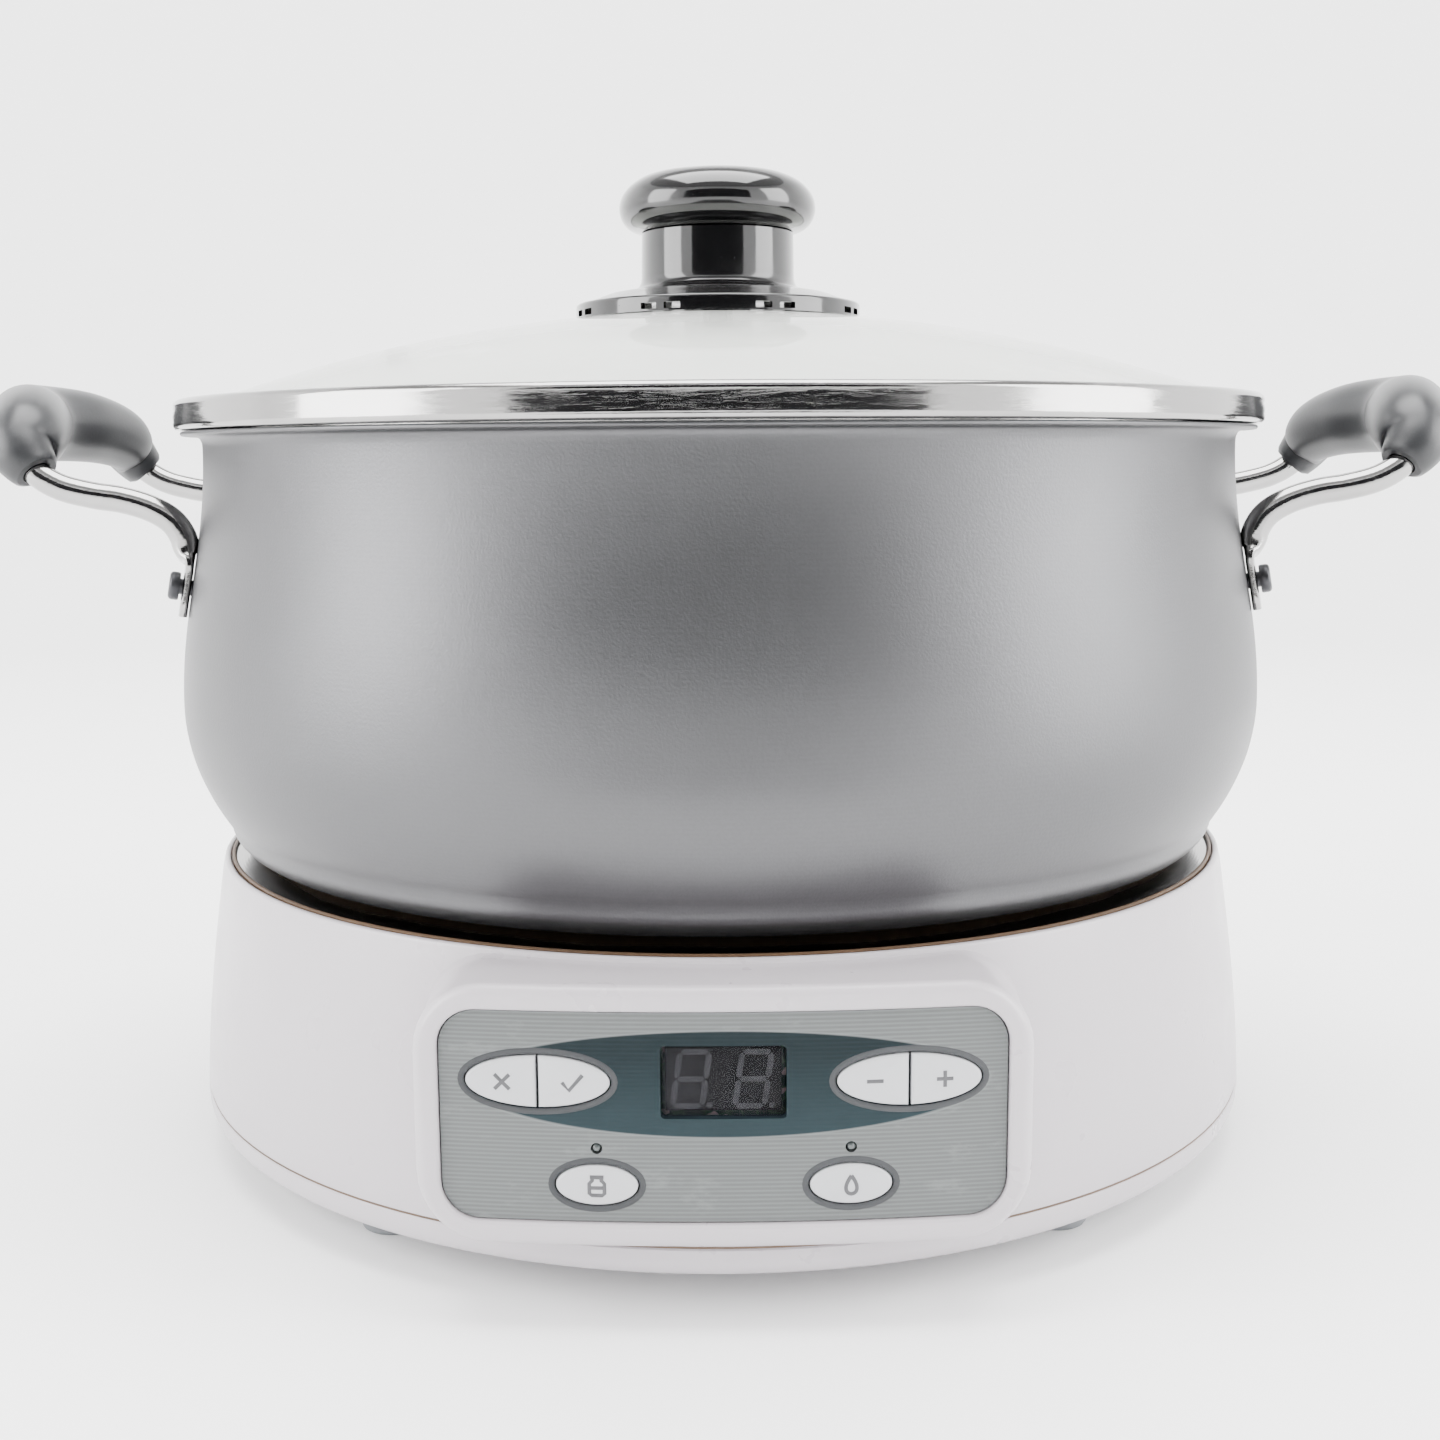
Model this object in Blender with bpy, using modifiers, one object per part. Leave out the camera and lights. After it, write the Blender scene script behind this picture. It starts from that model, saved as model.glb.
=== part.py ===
"""A countertop cooker for jam: a heated base with a stirring motor, a lift-off pot and a glass lid.

Metres, +Z up. The origin is on the pot's axis at table level, and the control panel faces -Y.
"""

import math

import bmesh
import bpy
from mathutils import Matrix, Vector

# ---- Clearances and mesh fineness
GAP = 0.0003  # between pieces that sit still against each other
RUNNING_GAP = 0.0004  # round pieces that turn or slide
FLAT_SAG = 0.0005  # how far the flats of a large turned wall lie inside its true round
WELD = 0.00001
SINK = 0.0010  # how far joined solids reach into each other
CUT_ROOM = 0.0200  # how far a cutter runs past what it cuts
ROUND_STEPS = 36  # facets round the large turned pieces
SMALL_STEPS = 16  # facets round the small turned pieces
TINY_STEPS = 8  # facets round pins, screws and their holes
KNOB_STEPS = 24
BOW_STEPS = 150

# ---- Base
RIM_HEIGHT = 0.0770  # table to the housing's top rim
FOOT_HEIGHT = 0.0090  # table to the underside of the base cover, less a gap
COVER_EDGE_HEIGHT = 0.0071
HOUSING_RIM_R = 0.1362
HOUSING_SKIRT_R = 0.1430
HOUSING_WALL = 0.0018
COVER_WALL = 0.0023
COVER_EDGE = (0.0028, 0.0036)  # width and height of its rounded outer edge
COVER_FILLET = (0.0030, 0.0022)
RIM_EDGE = 0.0008  # rounding of the rim, outside and inside
LEDGE_DEPTH = 0.0016  # rim down to the ledge that carries the bowl
LEDGE_WIDTH = 0.0034
FOOT_R = 0.0085
FOOT_TAPER = 0.0010
FOOT_STEM_R = 0.0028
BARB_R = 0.0040
BARB_TIP_R = 0.0020
BARB_HEIGHT = 0.0022
FOOT_CIRCLE_R = 0.1220
FOOT_ANGLE = math.radians(40)  # from the front and the back
SCREW_R = 0.0014
SCREW_HEAD_R = 0.0032
SCREW_HEAD_DEPTH = 0.0021
SCREW_HEAD_TAPER = 0.0014
SCREW_TIP_ROOM = 0.0020
SCREW_LENGTH = 0.0200
SCREW_ANGLE = math.radians(20)  # from the left and the right
BOSS_R = 0.0050
BOSS_INSET = 0.0060  # cover's inner wall to the nearest side of a boss
RIB_WIDTH = 0.0030
VENT_SLOTS = 3
VENT_REACH = 0.0200  # from the middle slot to the outer ones
VENT_SLOT_SIZE = (0.0040, 0.0360)
VENT_PLACE_Y = -0.0450
GLAND_HEIGHT = 0.0330
GLAND_R = 0.0060
GLAND_FLANGE_R = 0.0090
GLAND_FLANGE_DEPTH = 0.0022
GLAND_NOSE = 0.0006
GLAND_SEAT = 0.0012  # off the housing's wall
GLAND_LIP_PLACE = 0.0034  # inside the housing's wall
GLAND_LIP_WIDTH = 0.0016
GLAND_LIP_DEPTH = 0.0020
CORD_HOLE_R = 0.0040

# ---- Heater
BOWL_SHEET = 0.0009
BOWL_DEPTH = 0.0072  # rim down to the bowl's floor
BOWL_LIP = 0.0160
BOWL_DRAFT = 0.0022
BOWL_HOLE_R = 0.0120
PLATE_R = 0.0980
PLATE_HOLE_R = 0.0200
PLATE_CHAMFER = 0.0010
PLATE_ABOVE_RIM = 0.0011
ELEMENT_R = 0.0700
ELEMENT_TUBE_R = 0.0032
ELEMENT_OPENING = math.radians(36)
ELEMENT_STEPS = 24
ELEMENT_BEND = 0.0060
TERMINAL_DROP = 0.0120
TERMINAL_LEAD = 0.10  # turn from the ring's end to its terminal, in radians
FUSE_SIZE = (0.020, 0.008, 0.006)
FUSE_PLACE_X = -0.0400
FUSE_EDGE = 0.0008
SENSOR_CIRCLE_R = 0.0550
SENSOR_CAP_R = 0.0085
SENSOR_CAP_DEPTH = 0.0030
SENSOR_CHAMFER = 0.0008
SENSOR_STEM_R = 0.0030
SENSOR_STEM_LENGTH = 0.0180
SPRING_R = 0.0055
SPRING_WIRE_R = 0.0004
SPRING_TURNS = 3
SPRING_STEPS = 8  # facets in one turn

# ---- Drive
GEARBOX_DROP = 0.0170  # rim down to the top of the gearbox
GEARBOX_DEPTH = 0.0150
GEARBOX_WALL = 0.0020
GEARBOX_SIDE_ROOM = 0.0040
GEARBOX_END_ROOM = 0.0030
GEARBOX_BACK_ROOM = 0.0110
GEARBOX_CORNER_R = 0.0080
TOOTH_ADDENDUM = 0.75  # tooth sizes as shares of the module
TOOTH_DEDENDUM = 1.05
TOOTH_ROOT = 0.27  # half widths as shares of one tooth's step
TOOTH_TIP = 0.10
FINE_MODULE = 0.00125
COARSE_MODULE = 0.0015
OUTPUT_TEETH = 30
IDLER_SMALL_TEETH = 10
IDLER_LARGE_TEETH = 24
PINION_TEETH = 8
GEAR_FACE = 0.0045
DRIVE_SHAFT_R = 0.0040
IDLER_PIN_R = 0.0019
MOTOR_SHAFT_R = 0.0015
MOTOR_R = 0.0170
MOTOR_CHAMFER = 0.0010
MOTOR_SHAFT_DEPTH = 0.0040
PINION_HOLE_ROOM = 0.0020
BUSH_WALL = 0.0020
BUSH_FLANGE = 0.0030
BUSH_FLANGE_DEPTH = 0.0020
COUPLING_BAR = (0.0170, 0.0040, 0.0063)
COUPLING_R = 0.0090

# ---- Control panel
BEZEL_WIDTH = 0.1276
BEZEL_CORNER_R = 0.0150
BEZEL_RIM = 0.0056
BEZEL_TOP_MARGIN = 0.0020
BEZEL_BOTTOM_MARGIN = 0.0029
BEZEL_EDGE_R = 0.0022
BEZEL_BACK = 0.1150  # axis to the flat its block starts from
PANEL_FRONT = 0.1484  # axis to the middle of the panel's face
PANEL_RECESS = 0.0014
PANEL_BOW_R = 0.4250
PANEL_THICKNESS = 0.0024
PANEL_CORNER_R = 0.0078
PANEL_SEAT = 0.0020
UPPER_ROW_RISE = 0.0075
LOWER_ROW_DROP = 0.0144
PAIR_PLACE = 0.3256  # shares of the plate's width: places and half widths of the keys
PAIR_REACH = 0.1306
SINGLE_PLACE = 0.2234
SINGLE_REACH = 0.0756
PAIR_HALF_HEIGHT = 0.0058
PAIR_SPLIT = 0.00025  # half the slit between the two halves
SINGLE_HALF_HEIGHT = 0.0046
BUTTON_PROUD = 0.0006
BUTTON_TRAVEL = 0.0008
BUTTON_LIP = 0.0010
BUTTON_LIP_DEPTH = 0.0010
BUTTON_STEM_SHARE = 0.42  # of the half width, out from the slit
BUTTON_STEM_R = 0.0015
WINDOW_WIDTH = 0.0250
WINDOW_HEIGHT = 0.0148
WINDOW_RECESS = 0.0006
WINDOW_CORNER_R = 0.0010
DISPLAY_ROOM = 0.0012  # window's size less the module's
LENS_THICKNESS = 0.0012
LAMP_R = 0.0010
LAMP_RISE = 0.0032  # single key's top up to the lamp
LAMP_CROWN = (0.7, 0.0003)  # share of the radius, and drop, of the lens's crown
LAMP_DOME = 0.0009
LAMP_FOOT_DROP = 0.0050
LAMP_FOOT = 0.0005
BOARD_SETBACK = 0.0140  # panel's face to the control board's face
BOARD_THICKNESS = 0.0016
BOARD_REACH = 0.842  # share of the plate's width
BOARD_HEIGHT = 0.0376
SWITCH_SIDE = 0.0060
SWITCH_DEPTH = 0.0035
POST_R = 0.0024

# ---- Power board
POWER_BOARD_SIZE = (0.070, 0.048)
POWER_BOARD_PLACE = (-0.068, 0.022)
POWER_BOARD_RISE = 0.0100
BOARD_POST_R = 0.0030
BOARD_POST_INSET = 0.0060
TRANSFORMER_SIZE = (0.024, 0.022, 0.020)
TRANSFORMER_PLACE = (-0.018, 0.006)
RELAY_SIZE = (0.018, 0.012, 0.014)
RELAY_PLACE = (0.016, 0.012)
CAPACITOR_R = 0.0050
CAPACITOR_PLACE = (0.018, -0.012)
CAPACITOR_HEIGHT = 0.0160

# ---- Pot
POT_LIFT = 0.0014  # housing rim up to the pot's underside
POT_HEIGHT = 0.1086
POT_BELLY_R = 0.1445
POT_BELLY_HEIGHT = 0.0386  # above the pot's underside
POT_NECK_R = 0.1367
POT_NECK_DROP = 0.0040  # mouth down to where the neck starts
POT_FLANGE = 0.0053
FLANGE_SHEET = 0.0011
FLANGE_ROOT = (0.0006, 0.0016)  # out from the neck, and down from the mouth
POT_LOWER_ARC_R = 0.0950
POT_FOOT_R = 0.1225
POT_CORNER_WIDTH = 0.0115
POT_CORNER_HEIGHT = 0.0080
POT_WALL = 0.0012
POT_FLOOR = 0.0030

# ---- Stirrer and its post
POST_TUBE_R = 0.0080
POST_TIP_R = 0.0065
POST_HEIGHT = 0.0540
POST_TAPER_START = 0.0100  # above the flange
POST_NECK_R = 0.0070
POST_FLANGE_R = 0.0130
POST_FLANGE_DEPTH = 0.0023
GASKET_DEPTH = 0.0010
NUT_R = 0.0120
NUT_DEPTH = 0.0028
STIR_SHAFT_R = 0.0030
TANG_WIDTH = 0.0052
TANG_DEPTH = 0.0030
TANG_HEIGHT = 0.0060
LUG_SIZE = (0.0090, 0.0040, 0.0045)
HUB_WALL = 0.0026
STIRRER_REACH = 0.1120
STIRRER_TIP = 0.0050
STIRRER_RISE = 0.0012  # pot's floor up to the blade
STIRRER_ROOT_HEIGHT = 0.0165
STIRRER_TIP_HEIGHT = 0.0095
STIRRER_TIP_SHARE = 0.4  # of the tip's height, up to its furthest point
STIRRER_SLOPE = (0.0100, 0.0040)  # start of the upper edge past the hub, and its rise to the axis
STIRRER_ROOT = (0.0040, 0.0030)  # room past the post's flange, and the slope after it
BLADE_THICKNESS = 0.0030

# ---- Handles
WIRE_R = 0.0034
LEG_OFFSET = 0.0430  # of each leg from the handle's middle
STRAP_THICKNESS = 0.0022
STRAP_WIDTH = 0.0095
STRAP_ABOVE = 0.0066  # rivet up to the strap's top
STRAP_BELOW = 0.0072
RIVET_DROP = 0.0392  # pot's mouth down to the rivets
RIVET_R = 0.0020
RIVET_HEAD_R = 0.0036
RIVET_HEAD_DEPTH = 0.0028
RIVET_EDGE = (0.0010, 0.0008)
RIVET_TAIL = (0.0006, 0.0010)  # taper and depth of the spread end
RIVET_REACH = 0.0040  # either side of the wall, for its hole and the wall's slope
HEAD_ROOM = 0.0120
GRIP_END_R = 0.0056
GRIP_MIDDLE_R = 0.0105
GRIP_SWELL = 0.8
# Each leg's bends: outwards from the strap's top, towards the handle's middle, and up.
LEG_BENDS = (
    (0.0002, 0.0000, -0.0040),
    (0.0008, 0.0000, 0.0020),
    (0.0014, 0.0000, 0.0062),
    (0.0042, 0.0000, 0.0105),
    (0.0096, 0.0000, 0.0137),
    (0.0166, 0.0000, 0.0158),
    (0.0236, 0.0000, 0.0169),
    (0.0316, 0.0000, 0.0190),
    (0.0376, 0.0005, 0.0226),
)
GRIP_BENDS = (
    (0.0376, 0.0005, 0.0226),
    (0.0418, 0.0030, 0.0278),
    (0.0431, 0.0100, 0.0322),
    (0.0475, 0.0240, 0.0350),
    (0.0536, LEG_OFFSET, 0.0358),
)

# ---- Lid
LID_OVERHANG = 0.0016  # lid rim past the pot's flange
RIM_CROWN_RISE = 0.0020  # above the glass's edge
RIM_CROWN_EDGE = (0.0016, 0.0014)
RIM_FOOT_EDGE = (0.0015, 0.0012)
RIM_LIP = 0.0032  # over the glass
RIM_LIP_EDGE = 0.0004
RIM_SHEET = 0.0007
RIM_SKIRT_DEPTH = 0.0058
GLASS_THICKNESS = 0.0040
GLASS_EDGE_SHARE = 1.075  # upright thickness at the edge, for each unit of thickness
DOME_RISE = 0.0312  # pot's mouth to the top of the glass
GLASS_INSET = 0.0044  # rim's outside to the glass's edge
GLASS_HOLE_R = 0.0040
EYELET_PLACE = 0.0880
EYELET_R = 0.0030
EYELET_BORE_R = 0.0019
EYELET_FLANGE_R = 0.0046
EYELET_CROWN = (0.0008, 0.0010)  # taper and height above the glass
EYELET_FLANGE_EDGE = 0.0003
EYELET_TAIL = (0.0006, 0.0009)
EYELET_SPAN = 1.5  # of the flange's radius, of even glass either side

# ---- Knob
KNOB_SKIRT_R = 0.0385
KNOB_SKIRT_HEIGHT = 0.0040
KNOB_SKIRT_EDGE = (0.0006, 0.0008)
KNOB_SKIRT_WALL = 0.0020
KNOB_SKIRT_ROOF = 0.0016
KNOB_CEILING = 0.0036  # glass's top to the hollow's ceiling
KNOB_BOSS_R = 0.0090
KNOB_SHOULDER_R = 0.0227
KNOB_NECK_R = 0.0205
KNOB_SHOULDER_RISE = 0.0062  # glass's top to the shoulder
KNOB_NECK_RISE = 0.0212
KNOB_NECK_FILLET = ((0.0000, 0.0030), (0.0006, 0.0010))  # out and up from the shoulder
KNOB_CAP_R = 0.0265
KNOB_CAP_HEIGHT = 0.0161
KNOB_CAP_MIDDLE = 0.0055  # underside up to the widest point
KNOB_CAP_UPPER = 0.0110  # width of the upper curve
KNOB_CAP_LOWER = 0.0050
KNOB_CAP_FLAT = (0.0125, 0.0002)  # radius of the flat top, and its fall
KNOB_CAP_FALL = 0.0006
KNOB_BORE_DEPTH = 0.0085
KNOB_SLOTS = 8
KNOB_SLOT_WIDTH = 0.0056
KNOB_SLOT_HEIGHT = 0.0022
KNOB_SLOT_DEPTH = 0.0060
KNOB_SLOT_SINK = 0.0008  # skirt's foot down to the slot's start
KNOB_SCREW_R = 0.0025
KNOB_SCREW_REACH = 0.0075
KNOB_SCREW_EDGE = 0.0008
KNOB_SCREW_HEAD_R = 0.0063
KNOB_SCREW_HEAD_DEPTH = 0.0035
KNOB_WASHER_R = 0.0095
KNOB_WASHER_DEPTH = 0.0044

# ---- Heights that follow from the sizes above
COVER_Z = FOOT_HEIGHT + GAP
SEAM_Z = COVER_Z + COVER_EDGE_HEIGHT
SCREW_CIRCLE_R = HOUSING_SKIRT_R - COVER_WALL - BOSS_INSET - BOSS_R
COVER_FLOOR_Z = COVER_Z + COVER_WALL
BEZEL_TOP_Z = RIM_HEIGHT - BEZEL_TOP_MARGIN
BEZEL_BOTTOM_Z = SEAM_Z + BEZEL_BOTTOM_MARGIN
PANEL_Z = (BEZEL_TOP_Z + BEZEL_BOTTOM_Z) / 2
BEZEL_HEIGHT = BEZEL_TOP_Z - BEZEL_BOTTOM_Z
GLAND_REACH = PANEL_FRONT + PANEL_RECESS  # axis to the gland's outer face
PANEL_WIDTH = BEZEL_WIDTH - 2 * BEZEL_RIM
PANEL_HEIGHT = BEZEL_HEIGHT - 2 * BEZEL_RIM
PAIR_OFFSET = PAIR_PLACE * PANEL_WIDTH
PAIR_HALF_WIDTH = PAIR_REACH * PANEL_WIDTH
SINGLE_OFFSET = SINGLE_PLACE * PANEL_WIDTH
SINGLE_HALF_WIDTH = SINGLE_REACH * PANEL_WIDTH
BOARD_WIDTH = BOARD_REACH * PANEL_WIDTH
UPPER_ROW_Z = PANEL_Z + UPPER_ROW_RISE
LOWER_ROW_Z = PANEL_Z - LOWER_ROW_DROP
LAMP_Z = LOWER_ROW_Z + SINGLE_HALF_HEIGHT + LAMP_RISE
PANEL_BACK_R = PANEL_BOW_R - PANEL_THICKNESS
BOARD_Y = -PANEL_FRONT + BOARD_SETBACK
BOWL_FLOOR_Z = RIM_HEIGHT - BOWL_DEPTH
BOWL_FLANGE_R = HOUSING_RIM_R - HOUSING_WALL - GAP
PLATE_TOP_Z = RIM_HEIGHT + PLATE_ABOVE_RIM
POT_Z = RIM_HEIGHT + POT_LIFT
POT_FLOOR_Z = POT_Z + POT_FLOOR
MOUTH_Z = POT_Z + POT_HEIGHT
POT_FLANGE_R = POT_NECK_R + POT_FLANGE
RIVET_HEIGHT = POT_HEIGHT - RIVET_DROP  # above the pot's underside
STRAP_TOP = RIVET_HEIGHT + STRAP_ABOVE
STRAP_BOTTOM = RIVET_HEIGHT - STRAP_BELOW
LID_Z = MOUTH_Z + GAP
LID_R = POT_FLANGE_R + LID_OVERHANG
DOME_TOP_Z = MOUTH_Z + DOME_RISE
GLASS_R = LID_R - GLASS_INSET
DOME_EDGE_Z = LID_Z + RIM_SHEET + GAP + GLASS_EDGE_SHARE * GLASS_THICKNESS
DOME_FALL = DOME_TOP_Z - DOME_EDGE_Z
DOME_R = (GLASS_R**2 + DOME_FALL**2) / (2 * DOME_FALL)
KNOB_NECK_TOP_Z = DOME_TOP_Z + KNOB_NECK_RISE
GEARBOX_TOP_Z = RIM_HEIGHT - GEARBOX_DROP
GEARBOX_Z = GEARBOX_TOP_Z - GEARBOX_DEPTH
GEARBOX_COVER_Z = GEARBOX_Z - GAP - GEARBOX_WALL
MOTOR_TOP_Z = GEARBOX_COVER_Z - GAP
MOTOR_Z = COVER_FLOOR_Z + 3 * GAP
LOW_GEAR_Z = GEARBOX_Z + GEARBOX_WALL
HIGH_GEAR_Z = LOW_GEAR_Z + GEAR_FACE + 3 * GAP
OUTPUT_R = COARSE_MODULE * OUTPUT_TEETH / 2
IDLER_X = COARSE_MODULE * (OUTPUT_TEETH + IDLER_SMALL_TEETH) / 2
PINION_Y = FINE_MODULE * (IDLER_LARGE_TEETH + PINION_TEETH) / 2
IDLER_LARGE_R = FINE_MODULE * IDLER_LARGE_TEETH / 2
DRIVEN_DISC_Z = POT_Z - GAP - NUT_DEPTH - RUNNING_GAP
DRIVEN_DISC_DEPTH = 0.0028
BAR_TOP_Z = DRIVEN_DISC_Z - DRIVEN_DISC_DEPTH - RUNNING_GAP
GASKET_Z = POT_FLOOR_Z + GAP
POST_FLANGE_Z = GASKET_Z + GASKET_DEPTH + GAP
POST_TIP_Z = POST_FLANGE_Z + POST_HEIGHT
HUB_R = POST_TUBE_R + RUNNING_GAP + HUB_WALL
HUB_TOP_Z = POST_TIP_Z + RUNNING_GAP + TANG_HEIGHT
SENSOR_TOP_Z = POT_Z - GAP
SENSOR_CAP_Z = SENSOR_TOP_Z - SENSOR_CAP_DEPTH

# ---- Colours, as (red, green, blue), roughness and metallic value
FINISHES = {
    "white_plastic": ((0.68, 0.64, 0.68), 0.35, 0.0),
    "panel_film": ((0.30, 0.32, 0.30), 0.40, 0.4),
    "button_rubber": ((0.68, 0.68, 0.70), 0.45, 0.0),
    "smoked_window": ((0.02, 0.02, 0.025), 0.12, 0.0),
    "lamp_lens": ((0.10, 0.12, 0.12), 0.20, 0.0),
    "board_green": ((0.03, 0.16, 0.07), 0.50, 0.0),
    "foot_rubber": ((0.16, 0.17, 0.18), 0.75, 0.0),
    "bright_steel": ((0.62, 0.61, 0.60), 0.12, 1.0),
    "satin_pot": ((0.40, 0.40, 0.41), 0.38, 0.8),
    "cast_plate": ((0.03, 0.03, 0.03), 0.55, 0.5),
    "sheath_steel": ((0.20, 0.19, 0.18), 0.45, 0.9),
    "zinc_screw": ((0.45, 0.45, 0.46), 0.35, 1.0),
    "bronze": ((0.48, 0.30, 0.12), 0.35, 1.0),
    "white_acetal": ((0.75, 0.74, 0.70), 0.45, 0.0),
    "ceramic": ((0.70, 0.67, 0.60), 0.60, 0.0),
    "motor_steel": ((0.35, 0.35, 0.36), 0.40, 0.9),
    "grip_phenolic": ((0.055, 0.057, 0.062), 0.42, 0.0),
    "gloss_phenolic": ((0.008, 0.008, 0.009), 0.14, 0.0),
    "lid_glass": ((0.70, 0.76, 0.70), 0.04, 0.0),
    "silicone": ((0.10, 0.10, 0.11), 0.60, 0.0),
    "stirrer_nylon": ((0.02, 0.02, 0.022), 0.50, 0.0),
}


# ---- Scene helpers


def clear_scene():
    for thing in list(bpy.data.objects):
        bpy.data.objects.remove(thing)


def new_collection(name):
    made = bpy.data.collections.new(name)
    bpy.context.scene.collection.children.link(made)
    return made


def finish_of(name):
    """The material of that name, made on first use."""
    found = bpy.data.materials.get(name)
    if found:
        return found
    colour, roughness, metallic = FINISHES[name]
    made = bpy.data.materials.new(name)
    made.use_nodes = True
    made.diffuse_color = (*colour, 1.0)
    shader = made.node_tree.nodes["Principled BSDF"]
    shader.inputs["Base Color"].default_value = (*colour, 1.0)
    shader.inputs["Roughness"].default_value = roughness
    shader.inputs["Metallic"].default_value = metallic
    return made


def add_object(name, mesh, finish, matrix=None):
    """A visible piece of the cooker, or a hidden helper when no finish is given."""
    made = bpy.data.objects.new(name, mesh)
    if finish:
        mesh.materials.append(finish_of(finish))
        PIECES.objects.link(made)
    else:
        made.hide_render = True
        made.display_type = "WIRE"
        CUTTERS.objects.link(made)
    if matrix is not None:
        made.matrix_world = matrix
    return made


def smooth_round(mesh, angle=math.radians(35)):
    mesh.shade_smooth()
    mesh.set_sharp_from_angle(angle=angle)


def turned(name, outline, finish=None, steps=ROUND_STEPS, matrix=None):
    """A solid of revolution about local Z from (radius, height) points, down the outside first."""
    mesh = bpy.data.meshes.new(name)
    points = [(radius, 0.0, height) for radius, height in outline]
    open_ended = outline[0][0] == 0.0 and outline[-1][0] == 0.0
    links = [(i, i + 1) for i in range(len(points) - 1)]
    if not open_ended:
        links.append((len(points) - 1, 0))
    mesh.from_pydata(points, links, [])
    made = add_object(name, mesh, finish, matrix)
    screw = made.modifiers.new("Turn", "SCREW")
    screw.steps = steps
    screw.render_steps = steps
    screw.use_merge_vertices = True
    screw.merge_threshold = WELD
    screw.use_smooth_shade = True
    return made


def box(name, size, centre, finish=None, matrix=None):
    """A block of that size about a centre, in the object's own axes."""
    mesh = bpy.data.meshes.new(name)
    shell = bmesh.new()
    shape = Matrix.Translation(centre) @ Matrix.Diagonal((*size, 1.0))
    bmesh.ops.create_cube(shell, size=1.0, matrix=shape)
    shell.to_mesh(mesh)
    shell.free()
    return add_object(name, mesh, finish, matrix)


def rod(name, radius, low, high, finish=None, matrix=None, steps=SMALL_STEPS):
    """A round bar along local Z, between two heights."""
    mesh = bpy.data.meshes.new(name)
    shell = bmesh.new()
    bmesh.ops.create_cone(
        shell,
        cap_ends=True,
        segments=steps,
        radius1=radius,
        radius2=radius,
        depth=high - low,
        matrix=Matrix.Translation((0, 0, (low + high) / 2)),
    )
    shell.to_mesh(mesh)
    shell.free()
    smooth_round(mesh)
    return add_object(name, mesh, finish, matrix)


def meshed(curve_object):
    """The closed mesh of a curve object, which is then removed."""
    bpy.context.view_layer.update()
    graph = bpy.context.evaluated_depsgraph_get()
    mesh = bpy.data.meshes.new_from_object(curve_object.evaluated_get(graph))
    shell = bmesh.new()
    shell.from_mesh(mesh)
    bmesh.ops.remove_doubles(shell, verts=shell.verts, dist=WELD)
    bmesh.ops.recalc_face_normals(shell, faces=shell.faces)
    shell.to_mesh(mesh)
    shell.free()
    bpy.data.objects.remove(curve_object)
    smooth_round(mesh)
    return mesh


def extruded(name, outlines, low, high, finish=None, matrix=None):
    """A flat outline in local XY, the first one less the others, between two local heights."""
    curve = bpy.data.curves.new(name, "CURVE")
    curve.dimensions = "2D"
    curve.fill_mode = "BOTH"
    curve.extrude = (high - low) / 2
    for outline in outlines:
        spline = curve.splines.new("POLY")
        spline.points.add(len(outline) - 1)
        spline.use_cyclic_u = True
        for point, (x, y) in zip(spline.points, outline):
            point.co = (x, y, 0.0, 1.0)
    holder = bpy.data.objects.new(name, curve)
    CUTTERS.objects.link(holder)
    mesh = meshed(holder)
    mesh.transform(Matrix.Translation((0, 0, (low + high) / 2)))
    return add_object(name, mesh, finish, matrix)


def tube(name, route, radius, finish=None, radii=None, closed=False, sides=2):
    """A round bar along a route of points, its radius scaled point by point when radii are given."""
    curve = bpy.data.curves.new(name, "CURVE")
    curve.dimensions = "3D"
    curve.bevel_depth = radius
    curve.bevel_resolution = sides
    curve.use_fill_caps = True
    spline = curve.splines.new("POLY")
    spline.points.add(len(route) - 1)
    spline.use_cyclic_u = closed
    for i, place in enumerate(route):
        spline.points[i].co = (*place, 1.0)
        spline.points[i].radius = radii[i] / radius if radii else 1.0
    holder = bpy.data.objects.new(name, curve)
    CUTTERS.objects.link(holder)
    return add_object(name, meshed(holder), finish)


def combine(target, other, operation):
    made = target.modifiers.new(other.name, "BOOLEAN")
    made.operation = operation
    made.solver = "EXACT"
    made.object = other
    return target


def cut(target, *cutters):
    for cutter in cutters:
        combine(target, cutter, "DIFFERENCE")
    return target


def join(target, *others):
    for other in others:
        combine(target, other, "UNION")
    return target


def keep_within(target, other):
    return combine(target, other, "INTERSECT")


def facing_front(x=0.0, z=0.0):
    """Local X stays X, local Y points up, and local Z points out of the panel towards -Y."""
    return Matrix.Translation((x, 0, z)) @ Matrix.Rotation(math.pi / 2, 4, "X")


def rounded_rectangle(width, height, corner, steps=3):
    points = []
    for quarter in range(4):
        sign_x = (1, -1, -1, 1)[quarter]
        sign_y = (1, 1, -1, -1)[quarter]
        for step in range(steps + 1):
            angle = (quarter + step / steps) * math.pi / 2
            x = sign_x * (width / 2 - corner) + corner * math.cos(angle)
            y = sign_y * (height / 2 - corner) + corner * math.sin(angle)
            points.append((x, y))
    return points


def ellipse(half_width, half_height, steps=18):
    angles = [2 * math.pi * i / steps for i in range(steps)]
    return [(half_width * math.cos(a), half_height * math.sin(a)) for a in angles]


def half_ellipse(half_width, half_height, side, inset, steps=8):
    """The half of an ellipse on one side of its upright axis, set off from that axis."""
    limit = math.acos(inset / half_width)
    angles = [limit * (2 * i / steps - 1) for i in range(steps + 1)]
    return [(side * half_width * math.cos(a), side * half_height * math.sin(a)) for a in angles]


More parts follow.
